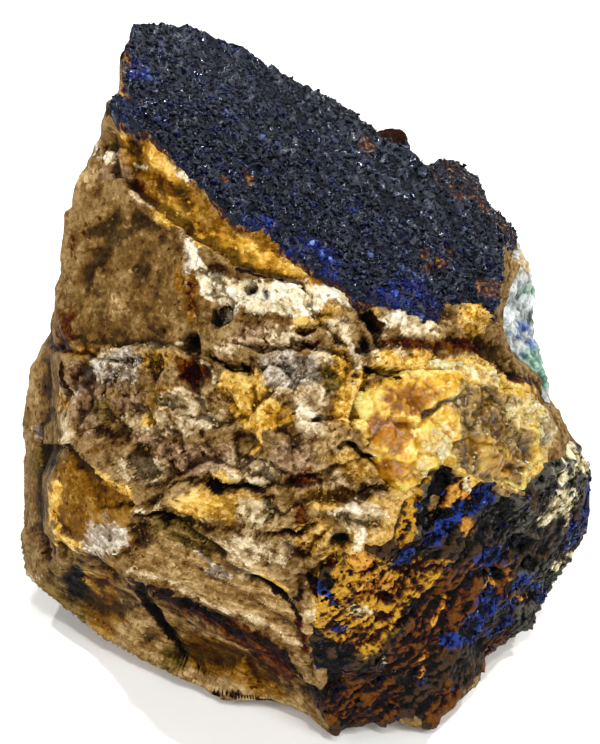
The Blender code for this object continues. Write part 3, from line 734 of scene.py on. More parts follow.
def rock_surface(away):
    """The finished rock along each direction, as points and display places: the weathered form plus its
    relief, less of it near the table and the crest, lower under the crusts, and where it meets the table,
    (a + b - sqrt((a - b)^2 + w^2)) / 2, a smooth smaller of the two reaches."""
    reach, _, share = rock_form(away)
    points = CORE + reach[:, None] * away
    places = view_places(points)
    low = ease(height_above_table(points) / LOW_RISE)
    relief = rock_detail(points, away, places, share) * (LOW_SHARE + (1.0 - LOW_SHARE) * low)
    cover = np.zeros(len(away))
    for patch in PATCHES:
        cover = np.maximum(cover, ease((crust_depth(patch, away) - 0.5) / 0.8))
    crest = ease((CREST_REACH - distance_to(points, CREST_LINE)) / 2.5)
    shown = relief * (1.0 - 0.7 * cover) * (1.0 - 0.8 * crest)
    reach = reach + shown - UNDER_CRUST * np.maximum(cover, 2.2 * crest)
    resting = table_reach(away)
    reach = 0.5 * (reach + resting - np.sqrt((reach - resting) ** 2 + FOOT_ROUNDING**2))
    return CORE + reach[:, None] * away, places


def averaged(grid, cells):
    """Each value of a grid made the mean of the square of cells around it."""
    for axis in (0, 1):
        grid = sum(np.roll(grid, step, axis) for step in range(-cells, cells + 1)) / (2 * cells + 1)
    return grid


def wear_and_shade(heights, columns):
    """How worn each grid point is and how much painted shade its hollow gets, from 0 in the hollows to 1 on
    edges
    that stand out: its height above the mean of its near and its wider surroundings."""
    grid = heights.reshape(-1, columns)
    near, wide = grid - averaged(grid, 2), grid - averaged(grid, 8)
    return (0.5 + 0.5 * np.tanh(near / NEAR_WEAR_AND_SHADE + wide / WIDE_WEAR_AND_SHADE)).ravel()


# ---- Meshes ----


def standing(points):
    """Display-frame millimetres as metres in the world, kept inside the solids' own box."""
    x = points[:, 0] - CENTRE_X
    y = points[:, 1] * math.sin(LEAN) - points[:, 2] * math.cos(LEAN) - CENTRE_Y
    world = MM * np.stack([x, y, height_above_table(points)], axis=1)
    return np.clip(world, np.array(cad_box[0]) + 1e-6, np.array(cad_box[1]) - 1e-6)


def add_mesh(name, points, faces, material, painted, smooth):
    """A piece from display-frame points and faces of one size, with its painted values and its finish."""
    mesh = bpy.data.meshes.new(name)
    size = faces.shape[1]
    mesh.vertices.add(len(points))
    mesh.vertices.foreach_set("co", standing(points).ravel())
    mesh.loops.add(faces.size)
    mesh.loops.foreach_set("vertex_index", faces.ravel().astype(np.int32))
    mesh.polygons.add(len(faces))
    mesh.polygons.foreach_set("loop_start", np.arange(0, faces.size, size, dtype=np.int32))
    mesh.polygons.foreach_set("use_smooth", np.full(len(faces), smooth))
    mesh.update(calc_edges=True)
    mesh.validate()
    for label, values in painted.items():
        mesh.attributes.new(label, "FLOAT", "POINT").data.foreach_set("value", values.astype(np.float32))
    mesh.materials.append(material)
    piece = bpy.data.objects.new(name, mesh)
    bpy.context.scene.collection.objects.link(piece)
    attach(piece, "root")
    return piece


ROCK_CELLS = 314  # the rock's grid is this many cells wide and high
FRONT_CROWDING = 0.34  # how much the grid crowds towards the front


def folded_grid(cells):
    """Directions over the whole round from a square grid folded like an octahedron: the front is the
    square's middle and its four corners meet at the back. The turn away from the front, t, becomes t -
    crowding sin t."""
    s, t = np.meshgrid(np.linspace(-1.0, 1.0, cells + 1), np.linspace(-1.0, 1.0, cells + 1))
    depth = 1.0 - abs(s) - abs(t)
    behind_it = depth < 0
    x = np.where(behind_it, (1.0 - abs(t)) * np.where(s < 0, -1.0, 1.0), s)
    y = np.where(behind_it, (1.0 - abs(s)) * np.where(t < 0, -1.0, 1.0), t)
    away = unit(np.stack([x, y, depth], axis=-1).reshape(-1, 3))
    turn = np.arccos(np.clip(away[:, 2], -1.0, 1.0))
    turned = turn - FRONT_CROWDING * np.sin(turn)
    flat = np.hypot(away[:, 0], away[:, 1])
    spread = np.where(flat > 1e-9, np.sin(turned) / np.maximum(flat, 1e-9), 0.0)
    return np.stack([away[:, 0] * spread, away[:, 1] * spread, np.cos(turned)], axis=1)


def folded_faces(cells):
    """The square grid's quads, with each pair of border points that fold together made one point."""
    number = np.arange((cells + 1) ** 2).reshape(cells + 1, cells + 1)
    for side in (number[0], number[-1], number[:, 0], number[:, -1]):
        side[:] = np.minimum(side, side[::-1])
    number[0, -1] = number[-1, 0] = number[-1, -1] = number[0, 0]
    quads = np.stack([number[:-1, :-1], number[:-1, 1:], number[1:, 1:], number[1:, :-1]], axis=-1)
    return quads.reshape(-1, 4)


def used_only(points, faces, painted):
    """The same faces with the points that none of them uses left out."""
    used, faces = np.unique(faces, return_inverse=True)
    return points[used], faces.reshape(-1, 4), {label: values[used] for label, values in painted.items()}


# ---- Crusts ----

CRUST_REACH = 1.2  # how far a crust's own mesh goes on past its border, sunk in the rock
CRUST_SINK = 1.1  # how deep its mesh ends in the rock, and how far outside the border it gets there
SINK_WIDTH = 0.6
CRUST_THICKNESS = {
    "azurite_druse": 1.3,
    "honey_crystals": 2.2,
    "goethite_crust": 1.8,
    "malachite_crust": 1.4,
}
CRUST_SPACING = {
    "azurite_druse": 0.25,
    "honey_crystals": 0.17,
    "goethite_crust": 0.2,
    "malachite_crust": 0.17,
}
EDGE_RISE = 0.9  # the growth comes up to its full height this far inside the border


def crust_surface(patch, away):
    """Points of a crust's outer surface: the rock's form raised by the growth inside the border, sunk
    outside it."""
    reach, _, _ = rock_form(away)
    points = CORE + reach[:, None] * away
    places = view_places(points)
    depth = crust_depth(patch, away)
    growth = ease(depth / EDGE_RISE) * GROWTHS[patch](points, places)
    lift = np.where(depth > 0, growth, -CRUST_SINK * ease(-depth / SINK_WIDTH))
    lifted = np.minimum(reach + lift, table_reach(away))
    return CORE + lifted[:, None] * away, points, places, depth


def shell(top, under, keep):
    """A closed thin solid over the kept cells of a grid: the top sheet, the under sheet turned over, and a
    wall along every border of the kept cells."""
    rows, columns = keep.shape
    number = np.arange((rows + 1) * (columns + 1)).reshape(rows + 1, columns + 1)
    quads = np.stack([number[:-1, :-1], number[:-1, 1:], number[1:, 1:], number[1:, :-1]], axis=-1)[keep]
    count = number.size
    edges = np.concatenate([quads[:, [n, (n + 1) % 4]] for n in range(4)])
    taken = edges[:, 0] * count + edges[:, 1]
    border = edges[~np.isin(edges[:, 1] * count + edges[:, 0], taken)]
    walls = np.stack([border[:, 1], border[:, 0], border[:, 0] + count, border[:, 1] + count], axis=1)
    return np.concatenate([top, under]), np.concatenate([quads, quads[:, ::-1] + count, walls])


def add_crust(patch, name, material, paint):
    """One crust as a closed sheet over its patch. `paint` gives its painted values at points and view
    places."""
    chart = CHARTS[patch]
    low, high = chart.loop.min(axis=0) - CRUST_REACH, chart.loop.max(axis=0) + CRUST_REACH
    columns, rows = np.ceil((high - low) / CRUST_SPACING[patch]).astype(int)
    right, up = np.meshgrid(np.linspace(low[0], high[0], columns + 1), np.linspace(low[1], high[1], rows + 1))
    away = chart.directions(np.stack([right.ravel(), up.ravel()], axis=1))
    top, points, places, depth = crust_surface(patch, away)
    near = depth.reshape(rows + 1, columns + 1) > -CRUST_REACH
    keep = near[:-1, :-1] & near[:-1, 1:] & near[1:, 1:] & near[1:, :-1]
    vertices, faces = shell(top, points - CRUST_THICKNESS[patch] * away, keep)
    painted = paint(points, places)
    # Painted light and shade: dark in the hollows as painted shade, pale on worn edges.
    painted["wear_and_hollow_shade"] = wear_and_shade(np.linalg.norm(top - CORE, axis=1), columns + 1)
    doubled = {label: np.concatenate([values, values]) for label, values in painted.items()}
    vertices, faces, doubled = used_only(vertices, faces, doubled)
    piece = add_mesh(name, vertices, faces, material, doubled, smooth=True)
    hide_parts(patch)
    return piece


ROW_DIRECTION = (0.75, -0.66, 0.0)  # the azurite stands in rows that run down to the right
BLADE_DIRECTION = (0.72, 0.66, 0.2)  # the goethite's blades run up to the right


def drawn_out(points, direction, times):
    """Points squeezed along a direction, so that a pattern taken at them comes out drawn out along it."""
    direction = unit(np.array(direction))
    return points - (1.0 - 1.0 / times) * (points @ direction)[:, None] * direction


def druse_growth(points, places):
    """An uneven, hackly bed: low swells with facets of two sizes on them, sunk at the spots of bare
    matrix."""
    rows = 0.16 * swell(drawn_out(points, ROW_DIRECTION, 4.0), 0.9, 661)
    relief = 0.6 + 0.35 * swell(points, 3.4, 21) + 0.3 * facets(points, 1.7, 501)
    relief = relief + 0.2 * facets(points, 0.8, 511) + rows
    return relief + 0.07 * swell(points, 0.35, 521) - 0.4 * laid(places, spots=BARE_SPOTS, fade=0.3)


def honey_growth(points, places):
    """Blocky glassy grains at their own heights, each broken into smaller facets."""
    nearest, second, owner = grains(points, 3.2, 41)
    small, small_second, _ = grains(points, 1.25, 531)
    creases = np.exp(-(((second - nearest) / 0.09) ** 2))
    creases = creases + 0.4 * np.exp(-(((small_second - small) / 0.1) ** 2))
    relief = 0.5 + 1.1 * owner - 0.6 * nearest**2 + 0.35 * facets(points, 1.5, 541)
    return relief + 0.16 * facets(points, 0.7, 551) - 0.3 * creases


SHOULDER_SPOT = (26.5, -10.5, 3.2, 5.4)  # the lumpy cream shoulder: x, y and two radii


def goethite_growth(points, places):
    """Broken plates and blades drawn out along the crust, a fine honeycomb of walls round pits in the
    golden part, lumps on the shoulder, and a few deep holes."""
    drawn = drawn_out(points, BLADE_DIRECTION, 2.2)
    plates = 0.55 + 0.5 * facets(drawn, 2.4, 51) + 0.34 * facets(drawn, 1.1, 581)
    plates = plates + 0.18 * facets(points, 0.55, 591)
    bent = drawn_out(points, BLADE_DIRECTION, 1.7) + 0.7 * drift(points, 1.6, 563)
    near_small, second_small, owner_small = grains(bent, 0.95, 561)
    fine = 0.6 - 0.9 * owner_small**1.5 * np.clip((second_small - near_small) / 0.4, 0.0, 1.0)
    lump, _, lump_owner = grains(points, 1.9, 571)
    lumps = 0.75 + 0.6 * lump_owner - 0.8 * lump**2
    golden = laid(places, *GOETHITE_PLACES["gold"], fade=1.0)
    shoulder = laid(places, spots=[SHOULDER_SPOT], fade=1.5)
    relief = plates * (1.0 - golden) + (0.75 * plates + 0.55 * fine) * golden
    relief = relief * (1.0 - shoulder) + (0.3 * plates + 0.8 * lumps) * shoulder
    relief = relief + 0.05 * swell(points, 0.35, 601)
    for (x, y), (wide, tall), depth in PITS:
        relief -= depth * laid(wandering(places, points, 0.4), spots=[(x, y, wide, tall)], fade=0.35)
    return relief


def malachite_growth(points, places):
    """Small round lumps."""
    nearest, _, _ = grains(points, 2.6, 61)
    small, _, owner = grains(points, 1.1, 611)
    return 0.7 - 0.8 * nearest**2 + 0.3 * owner - 0.35 * small**2 + 0.12 * facets(points, 0.6, 621)


GROWTHS = {
    "azurite_druse": druse_growth,
    "honey_crystals": honey_growth,
    "goethite_crust": goethite_growth,
    "malachite_crust": malachite_growth,
}

# ---- Small crystals and grains, planted on a surface ----


def ringed_crystal(sides, rings):
    """A closed prism in triangles: a ring of corners for each (height, radius), with flat ends."""
    turn = 2.0 * math.pi * np.arange(sides) / sides
    circle = np.stack([np.cos(turn), np.sin(turn)], axis=1)
    corners = [np.column_stack([circle * radius, np.full(sides, height)]) for height, radius in rings]
    faces = []
    for ring in range(len(rings) - 1):
        for n in range(sides):
            a, b = ring * sides + n, ring * sides + (n + 1) % sides
            faces += [(a, b, b + sides), (a, b + sides, a + sides)]
    last = (len(rings) - 1) * sides
    for n in range(1, sides - 1):
        faces += [(0, n + 1, n), (last, last + n, last + n + 1)]
    return np.concatenate(corners), np.array(faces)


def turned(normals, lean, draws):
    """Axes for each copy: its length along the normal leaned at random, and a random turn about that."""
    length = unit(normals + lean * draws.normal(size=(len(normals), 3)))
    side = unit(np.cross(length, draws.normal(size=(len(normals), 3))))
    return np.stack([side, np.cross(length, side), length], axis=1)


def planted(template, places, axes, sizes, draws, chipped=0.0):
    """Copies of a small closed shape in one mesh: corner = place + sum of (template x size) along the
    copy's axes, with each corner moved at random by `chipped` sizes."""
    corners, faces = template
    shape = corners[None] + chipped * draws.uniform(-1.0, 1.0, size=(len(places), len(corners), 3))
    points = places[:, None] + np.einsum("nkj,nj,nji->nki", shape, sizes, axes)
    numbered = faces[None] + (np.arange(len(places)) * len(corners))[:, None, None]
    return points.reshape(-1, 3), numbered.reshape(-1, 3)


def patch_directions(patch, count, draws, inset=0.0):
    """Random directions through a patch, evenly over its chart."""
    chart = CHARTS[patch]
    low, high = chart.loop.min(axis=0), chart.loop.max(axis=0)
    away = chart.directions(draws.uniform(low, high, size=(count, 2)))
    return away[crust_depth(patch, away) > inset]


AZURITE_BLADE = ringed_crystal(6, [(-0.6, 0.8), (0.45, 1.0), (1.0, 0.45)])
AZURITE_GRIT = ringed_crystal(4, [(-0.5, 0.9), (0.7, 0.75)])
# each size of crystal on the bed: its shape, how many are tried, half-widths, lengths, lean, seed
BED_CRYSTALS = {
    "azurite_blades": (AZURITE_BLADE, 8600, (0.14, 0.4), (0.12, 0.34), 0.4, 71),
    "azurite_grit": (AZURITE_GRIT, 25000, (0.07, 0.17), (0.08, 0.2), 0.7, 74),
}


def add_planted(name, template, top, axes, sizes, draws, chipped, painted, material):
    """One piece of planted copies, each with the painted values of its place."""
    vertices, faces = planted(template, top, axes, sizes, draws, chipped)
    painted = {label: np.repeat(values, len(template[0])) for label, values in painted.items()}
    piece = add_mesh(name, vertices, faces, material, painted, smooth=False)
    return piece


def add_bed_crystals(name, material):
    """Thousands of small azurite crystals of one kind on the bed, leaning every way and mostly sunk in
    it."""
    template, tries, widths, lengths, lean, seed = BED_CRYSTALS[name]
    draws = np.random.default_rng(seed)
    away = patch_directions("azurite_druse", tries, draws, inset=0.1)
    top, points, places, depth = crust_surface("azurite_druse", away)
    bare = laid(places, spots=BARE_SPOTS, fade=0.3)
    chosen = draws.uniform(size=len(away)) > np.maximum(0.85 * bare, 0.25 * (depth > 1.2))
    away, top, points, places = away[chosen], top[chosen], points[chosen], places[chosen]
    normals = unit(0.6 * away + 0.4 * CHARTS["azurite_druse"].normal)
    large = draws.uniform(size=len(away)) ** 2.5
    width = widths[0] + (widths[1] - widths[0]) * large
    length = lengths[0] + (lengths[1] - lengths[0]) * large
    flatness = draws.uniform(0.4, 0.9, size=len(away))
    smooth = ease(distance_to(places, CREST_LINE[:, :2]) / CREST_FINENESS)
    sizes = np.stack([width * 1.25, width * flatness, length], axis=1) * (0.55 + 0.45 * smooth)[:, None]
    painted = druse_paint(points, places)
    painted["tone"] = 0.15 + 0.7 * draws.uniform(size=len(away)) ** 1.5
    axes = turned(normals, lean, draws)
    add_planted(name, template, top, axes, sizes, draws, 0.15, painted, material)


def add_goethite_azurite(material):
    """Azurite crystals in clusters in the goethite crust, thickest in its blue streaks."""
    draws = np.random.default_rng(72)
    away = patch_directions("goethite_crust", 14000, draws, inset=0.3)
    top, points, places, _ = crust_surface("goethite_crust", away)
    blue = laid(wandering(places, points, 0.6), *GOETHITE_PLACES["blue"], fade=0.6)
    chosen = draws.uniform(size=len(away)) < 0.45 * blue + 0.02
    away, top = away[chosen], top[chosen]
    size = 0.1 + 0.24 * draws.uniform(size=len(away)) ** 2.5
    sizes = np.stack([size, size * draws.uniform(0.4, 0.9, size=len(away)), size * 1.3], axis=1)
    painted = {
        "blue": 0.4 + 0.6 * draws.uniform(size=len(away)),
        "bare": np.zeros(len(away)),
        "tone": 0.85 * draws.uniform(size=len(away)) ** 1.8,
        "rows": 0.8 * draws.uniform(size=len(away)),
    }
    axes = turned(away, 0.8, draws)
    name = "goethite_azurite"
    add_planted(name, AZURITE_BLADE, top, axes, sizes, draws, 0.12, painted, material)


GRAIN = ringed_crystal(5, [(-0.5, 0.95), (0.55, 0.6)])
GRAIN_TRIES = 90000
GRAIN_FIELD = ([-25.0, -34.0], [24.0, 27.0])  # the display area that grains are tried over
GRAIN_STAINS = {"quartz": 0.45, "gold": 0.25, "limonite": 0.1, "grey": 0.6}  # how grainy each stain is


def grain_sizes(count, smallest, widest, draws):
    """Sizes of broken grains along their own axes, most of them small."""
    size = smallest + (widest - smallest) * draws.uniform(size=count) ** 2.6
    return np.stack([size, size * draws.uniform(0.6, 1.0, size=count), size * 0.8], axis=1)


def add_rock_grains(material):
    """Small broken grains of quartz and limonite half sunk in the front of the rock, where it is rough."""
    draws = np.random.default_rng(73)
    across = draws.uniform(*GRAIN_FIELD, size=(GRAIN_TRIES, 2))
    away = unit(np.column_stack([across, np.full(GRAIN_TRIES, 12.0)]) - CORE)
    reach, _, _ = rock_form(away)
    points = CORE + reach[:, None] * away
    places = view_places(points)
    covers = rock_paint(points, away, places)
    bare = np.maximum.reduce([ease((crust_depth(patch, away) + 0.1) / 0.3) for patch in PATCHES])
    rough = sum(share * covers[label] for label, share in GRAIN_STAINS.items()) + 0.15
    rough = rough * (1.0 - 0.95 * laid(places, CALM, fade=1.0)) * (1.0 - 0.9 * covers["dark"])
    clump = 0.35 + 1.1 * ease(0.5 + swell(points, 1.8, 641))
    chosen = draws.uniform(size=len(away)) < 0.42 * rough * clump * (1.0 - bare)
    away = away[chosen]
    surface, places = rock_surface(away)
    painted = rock_paint(surface, away, places)
    painted["wear_and_hollow_shade"] = 0.4 + 0.35 * draws.uniform(size=len(away))
    sizes = grain_sizes(len(away), 0.08, 0.3, draws)
    axes = turned(away, 1.2, draws)
    add_planted("rock_grains", GRAIN, surface, axes, sizes, draws, 0.25, painted, material)


def add_crust_grains(patch, name, tries, labels, widest, seed, paint, material, slot):
    """Small broken grains half sunk in a crust, thickest where the covers with these labels are."""
    draws = np.random.default_rng(seed)
    away = patch_directions(patch, tries, draws, inset=0.15)
    top, points, places, _ = crust_surface(patch, away)
    painted = paint(points, places)
    thick = np.maximum.reduce([painted[label] for label in labels])
    chosen = draws.uniform(size=len(away)) < 0.06 + 0.7 * thick
    top, away = top[chosen], away[chosen]
    painted = {label: values[chosen] for label, values in painted.items()}
    painted["wear_and_hollow_shade"] = 0.25 + 0.65 * draws.uniform(size=len(away))
    sizes = grain_sizes(len(away), 0.12, widest, draws)
    add_planted(name, GRAIN, top, turned(away, 1.0, draws), sizes, draws, 0.2, painted, material)


# ---- Where each stain and mineral shows ----

BARE_SPOTS = [
    (-5.2, 19.3, 0.45, 0.35), (-7.5, 19.1, 0.4, 0.35), (6.3, 22.7, 0.8, 0.6), (12.4, 12.0, 0.5, 0.45),
    (14.2, 11.4, 0.5, 0.45), (14.8, 12.8, 0.4, 0.4), (12.5, 10.3, 0.5, 0.5), (18.5, 9.2, 1.3, 1.2),
    (-17.3, 32.2, 0.4, 1.8), (-17.6, 28.6, 0.4, 0.7),
]
KNOB = [
    (12.0, 21.4), (15.2, 21.8), (17.5, 20.2), (19.0, 17.4), (21.0, 16.0), (21.4, 13.2), (19.5, 12.6),
    (17.5, 16.4), (15.0, 18.3),
]
KNOB_RIDGE = [(15.3, 18.2), (18.4, 15.8), (20.4, 13.9)]
CREST = [
    (-16.9, 34.6), (-15.2, 35.8), (-11.0, 34.8), (-5.5, 32.8), (0.0, 29.6), (4.5, 27.2), (9.5, 23.0),
    (12.0, 21.3),
]
BROW_LINE = [
    (-18.7, 26.3), (-15.0, 24.3), (-10.0, 19.2), (-6.8, 16.2), (-3.2, 14.5), (0.5, 11.5), (5.0, 8.8),
    (10.0, 6.8), (13.3, 6.0),
]
BLUE_SPOTS = [
    (1.0, 11.6, 3.6, 1.8), (2.8, 11.8, 0.9, 0.8), (9.0, 8.3, 4.0, 1.3), (-15.9, 30.0, 1.2, 1.1),
    (5.4, 17.4, 0.8, 0.9), (7.6, 15.0, 1.0, 0.8), (-3.5, 15.2, 2.4, 1.0),
]
# Each table below gives, for every stain, loops, round spots (x, y, two radii) and lines (half-width,
# places).
GOETHITE_PLACES = {
    "steel": (
        [],
        [(20.4, -13.4, 2.6, 2.8), (25.6, -9.0, 2.4, 3.0), (24.2, -19.4, 2.8, 1.8), (23.0, -24.0, 2.2, 2.6)],
        [(0.7, [(13.2, -10.4), (11.4, -14.6)])],
    ),
    "rust": (
        [
            [
                (12.0, -18.4), (17.4, -17.6), (17.8, -21.0), (15.0, -26.0), (12.4, -28.6), (8.0, -28.8),
                (9.4, -25.0), (12.0, -21.6),
            ],
            [(2.6, -28.4), (8.6, -28.8), (10.4, -31.2), (6.8, -34.0), (1.2, -33.4)],
        ],
        [
            (14.2, -32.4, 2.0, 2.4), (16.3, -14.2, 1.0, 1.1), (20.0, -19.6, 1.2, 1.8),
            (19.4, -27.0, 1.8, 1.6),
        ],
        [],
    ),
    "gold": (
        [
            [
                (12.4, -18.2), (14.0, -17.8), (12.6, -20.2), (10.0, -22.6), (8.6, -25.4), (6.2, -26.8),
                (3.4, -26.4), (1.4, -24.4), (1.4, -21.6), (3.4, -19.6), (5.6, -18.2), (8.0, -17.6),
                (10.6, -18.2),
            ],
        ],
        [(6.2, -18.6, 1.4, 1.2), (7.4, -21.0, 2.4, 1.8)],
        [
            (0.6, [(12.2, -9.6), (10.8, -13.0), (10.2, -16.0)]),
            (0.3, [(1.6, -30.4), (2.6, -30.0), (3.4, -29.6)]),
        ],
    ),
    "orange": (
        [],
        [(16.3, -14.4, 0.8, 0.9), (20.4, -18.2, 0.4, 0.6), (7.2, -20.6, 2.0, 1.2), (6.4, -18.2, 1.0, 1.0)],
        [
            (0.65, [(16.5, -10.3), (14.6, -12.4)]), (0.35, [(19.4, -19.8), (18.2, -20.8)]),
            (0.35, [(14.0, -22.0), (13.2, -24.4)]), (0.3, [(21.0, -21.8), (22.6, -22.4)]),
            (0.3, [(12.4, -26.8), (11.2, -29.4)]),
        ],
    ),
    "cream": (
        [],
        [
            (26.2, -6.4, 0.9, 0.9), (27.2, -8.3, 0.8, 0.9), (25.3, -12.1, 1.3, 1.4), (25.6, -9.6, 0.8, 0.9),
            (24.4, -13.4, 0.7, 0.7), (22.6, -9.0, 0.9, 0.9), (5.0, -22.6, 0.5, 0.4), (6.2, -22.9, 0.5, 0.4),
            (8.1, -27.9, 0.35, 0.45),
        ],
        [(0.3, [(15.2, -8.4), (16.3, -9.0), (16.8, -10.2)]), (0.4, [(25.2, -17.9), (27.0, -17.4)])],
    ),
    "blue": (
        [],
        [
            (23.8, -21.3, 0.7, 0.7), (20.5, -22.5, 0.6, 0.6), (11.8, -29.0, 0.5, 0.6),
            (28.1, -13.1, 0.8, 1.3), (3.2, -24.4, 0.6, 0.4),
        ],
        [
            (0.8, [(18.8, -10.8), (16.9, -12.1), (14.2, -14.2), (12.6, -15.9)]),
            (0.65, [(17.4, -17.8), (19.2, -17.2)]), (0.45, [(20.2, -20.5), (21.8, -19.9)]),
            (0.9, [(16.4, -24.2), (17.8, -22.6), (19.2, -21.3)]), (0.65, [(14.4, -25.7), (16.6, -24.6)]),
            (0.35, [(18.4, -24.9), (20.2, -24.1)]), (0.35, [(2.6, -21.6), (1.4, -19.8)]),
            (0.5, [(28.6, -8.4), (28.7, -12.0)]), (0.4, [(26.8, -14.0), (26.2, -16.2)]),
            (0.5, [(9.4, -18.6), (10.4, -16.6)]),
        ],
    ),
    "dark": (
        [[(0.2, -28.4), (3.4, -27.6), (4.8, -27.4), (4.0, -29.4), (1.8, -31.4), (0.0, -31.0)]],
        [
            (21.6, -15.9, 1.3, 0.8), (18.9, -19.0, 1.2, 0.7), (22.2, -18.2, 0.9, 0.8),
            (8.4, -21.7, 0.8, 0.5), (9.6, -18.8, 0.6, 0.5), (7.9, -23.6, 0.5, 0.4), (20.6, -12.6, 0.9, 0.7),
            (14.4, -10.6, 0.8, 0.9),
        ],
        [(0.45, [(15.0, -8.8), (13.6, -11.0), (12.8, -13.6)]), (0.35, [(12.6, -14.0), (14.6, -12.8)])],
    ),
}
PITS = [
    ((21.7, -15.9), (1.2, 0.7), 1.3),
    ((18.8, -19.0), (1.1, 0.6), 1.2),
    ((22.3, -18.2), (0.9, 0.7), 1.2),
    ((23.6, -14.6), (0.6, 0.5), 0.8),
    ((8.3, -21.7), (0.8, 0.5), 1.0),
    ((9.5, -18.8), (0.6, 0.5), 0.8),
    ((7.9, -23.6), (0.6, 0.4), 0.8),
    ((13.9, -10.9), (1.0, 2.0), 0.9),
    ((13.2, -13.2), (0.8, 0.8), 0.8),
    ((2.6, -29.6), (1.4, 0.9), 0.8),
]
HONEY_PLACES = {
    "amber": ([], [(8.6, -5.0, 2.2, 2.0), (10.6, -1.8, 2.0, 1.4), (9.0, -9.4, 1.2, 1.6)], []),
    "olive": (
        [
            [
                (14.8, -0.8), (18.2, -0.6), (21.0, -1.6), (22.2, -5.0), (22.4, -10.6), (17.4, -9.8),
                (15.4, -8.6), (15.4, -4.0),
            ],
        ],
        [],
        [
            (0.4, [(12.2, -3.3), (14.0, -2.8), (15.4, -2.0), (17.0, -1.2)]),
            (0.35, [(19.6, -5.4), (20.6, -7.4)]),
        ],
    ),
    "amber_glow": ([], [(18.0, -6.4, 1.6, 1.2), (19.4, -8.6, 1.4, 1.2)], []),
    "beige": ([], [(24.2, -4.8, 1.4, 2.4), (22.4, -2.0, 1.4, 0.8)], []),
    "pale": (
        [],
        [
            (18.7, 0.3, 1.6, 1.1), (13.8, -6.3, 1.3, 1.8), (23.1, -9.1, 0.9, 1.0), (21.4, -3.2, 1.4, 1.5),
            (11.9, -8.9, 0.5, 1.0), (15.3, -7.6, 0.7, 0.7),
        ],
        [(0.55, [(11.6, 1.9), (14.0, 1.2), (16.4, 1.0), (18.4, 0.9)])],
    ),
}
MALACHITE_PLACES = {
    "tan": ([], [(21.8, 11.4, 1.0, 0.9)], []),
    "green": ([], [(23.5, 0.6, 1.5, 1.9), (22.4, 8.6, 0.6, 0.6)], [(0.4, [(22.2, 3.0), (23.0, 1.6)])]),
    "white": (
        [],
        [(20.4, 6.6, 0.9, 1.2), (21.0, 2.0, 0.9, 1.3), (22.0, 7.8, 0.7, 0.6), (20.8, 9.4, 0.5, 0.4)],
        [(0.3, [(21.8, 1.4), (22.2, 0.0)])],
    ),
    "blue": ([], [(21.5, 5.0, 0.7, 0.8), (22.6, 3.6, 0.5, 0.8), (19.8, 4.0, 0.6, 0.7)], []),
    "dark": (
        [],
        [(20.0, 9.2, 0.5, 0.9), (22.6, 6.2, 0.5, 0.6)],
        [(0.3, [(19.6, 5.2), (20.4, 2.6), (21.8, 0.2)])],
    ),
}
BAND = [
    (-18.9, 26.3), (-14.0, 22.8), (-9.7, 18.0), (-3.0, 14.2), (0.5, 11.6), (4.4, 8.9), (0.2, 9.4),
    (-6.0, 11.6), (-11.5, 14.4), (-16.3, 18.4), (-17.4, 22.6),
]
GOLDEN_EDGE = [
    (-12.0, 15.0), (-8.0, 15.2), (-4.0, 12.8), (0.0, 10.8), (0.6, 9.6), (-3.0, 10.8), (-6.4, 11.8),
    (-10.0, 13.4),
]
SLAB = [(-24.0, 6.2), (-24.8, -9.0), (-25.6, -15.0), (-28.4, -14.0), (-28.2, -3.0), (-26.0, 3.0)]
LUMP = [(-23.7, -7.0), (-19.0, -10.2), (-17.2, -12.5), (-16.7, -17.6), (-22.1, -16.8), (-25.2, -13.0)]
# The hollow under the corner lump, stained olive and painted in shade.
SHADED_UNDERCUT = [(-24.9, -17.6), (-21.6, -18.2), (-20.8, -21.5), (-21.4, -25.6), (-24.4, -23.6), (-26.6, -21.0)]
# Painted shadow under the lip, in rust-brown tones.
UNDER_LIP_SHADE = [
    (-16.9, -20.2), (-9.4, -22.6), (-4.8, -24.6), (-1.4, -27.2), (0.0, -31.0), (-6.2, -26.8),
    (-13.9, -21.9),
]
# The valley below the step, stained olive and painted in shadow.
SHADED_VALLEY = [
    (-16.6, -12.8), (-12.6, -12.4), (-9.6, -15.0), (-7.4, -17.4), (-8.8, -18.4), (-11.4, -17.0),
    (-14.6, -14.8),
]
GOLDEN_FACET = [
    (-12.8, -11.6), (-10.0, -10.2), (-6.8, -11.4), (-4.4, -11.3), (-4.6, -12.6), (-7.0, -14.6),
    (-9.8, -13.6),
]
CALM = [LEFT_FACET, PLATE, WALL, BAND, GOLDEN_EDGE, GOLDEN_FACET, LUMP, SLAB]
UNDER_HONEY = [
    (5.2, -2.0), (9.5, 0.5), (12.5, 2.2), (17.8, 1.8), (22.6, -1.2), (25.2, -4.6), (24.8, -8.2),
    (22.0, -11.0), (17.0, -9.8), (14.0, -8.4), (9.8, -11.7), (7.2, -7.0),
]
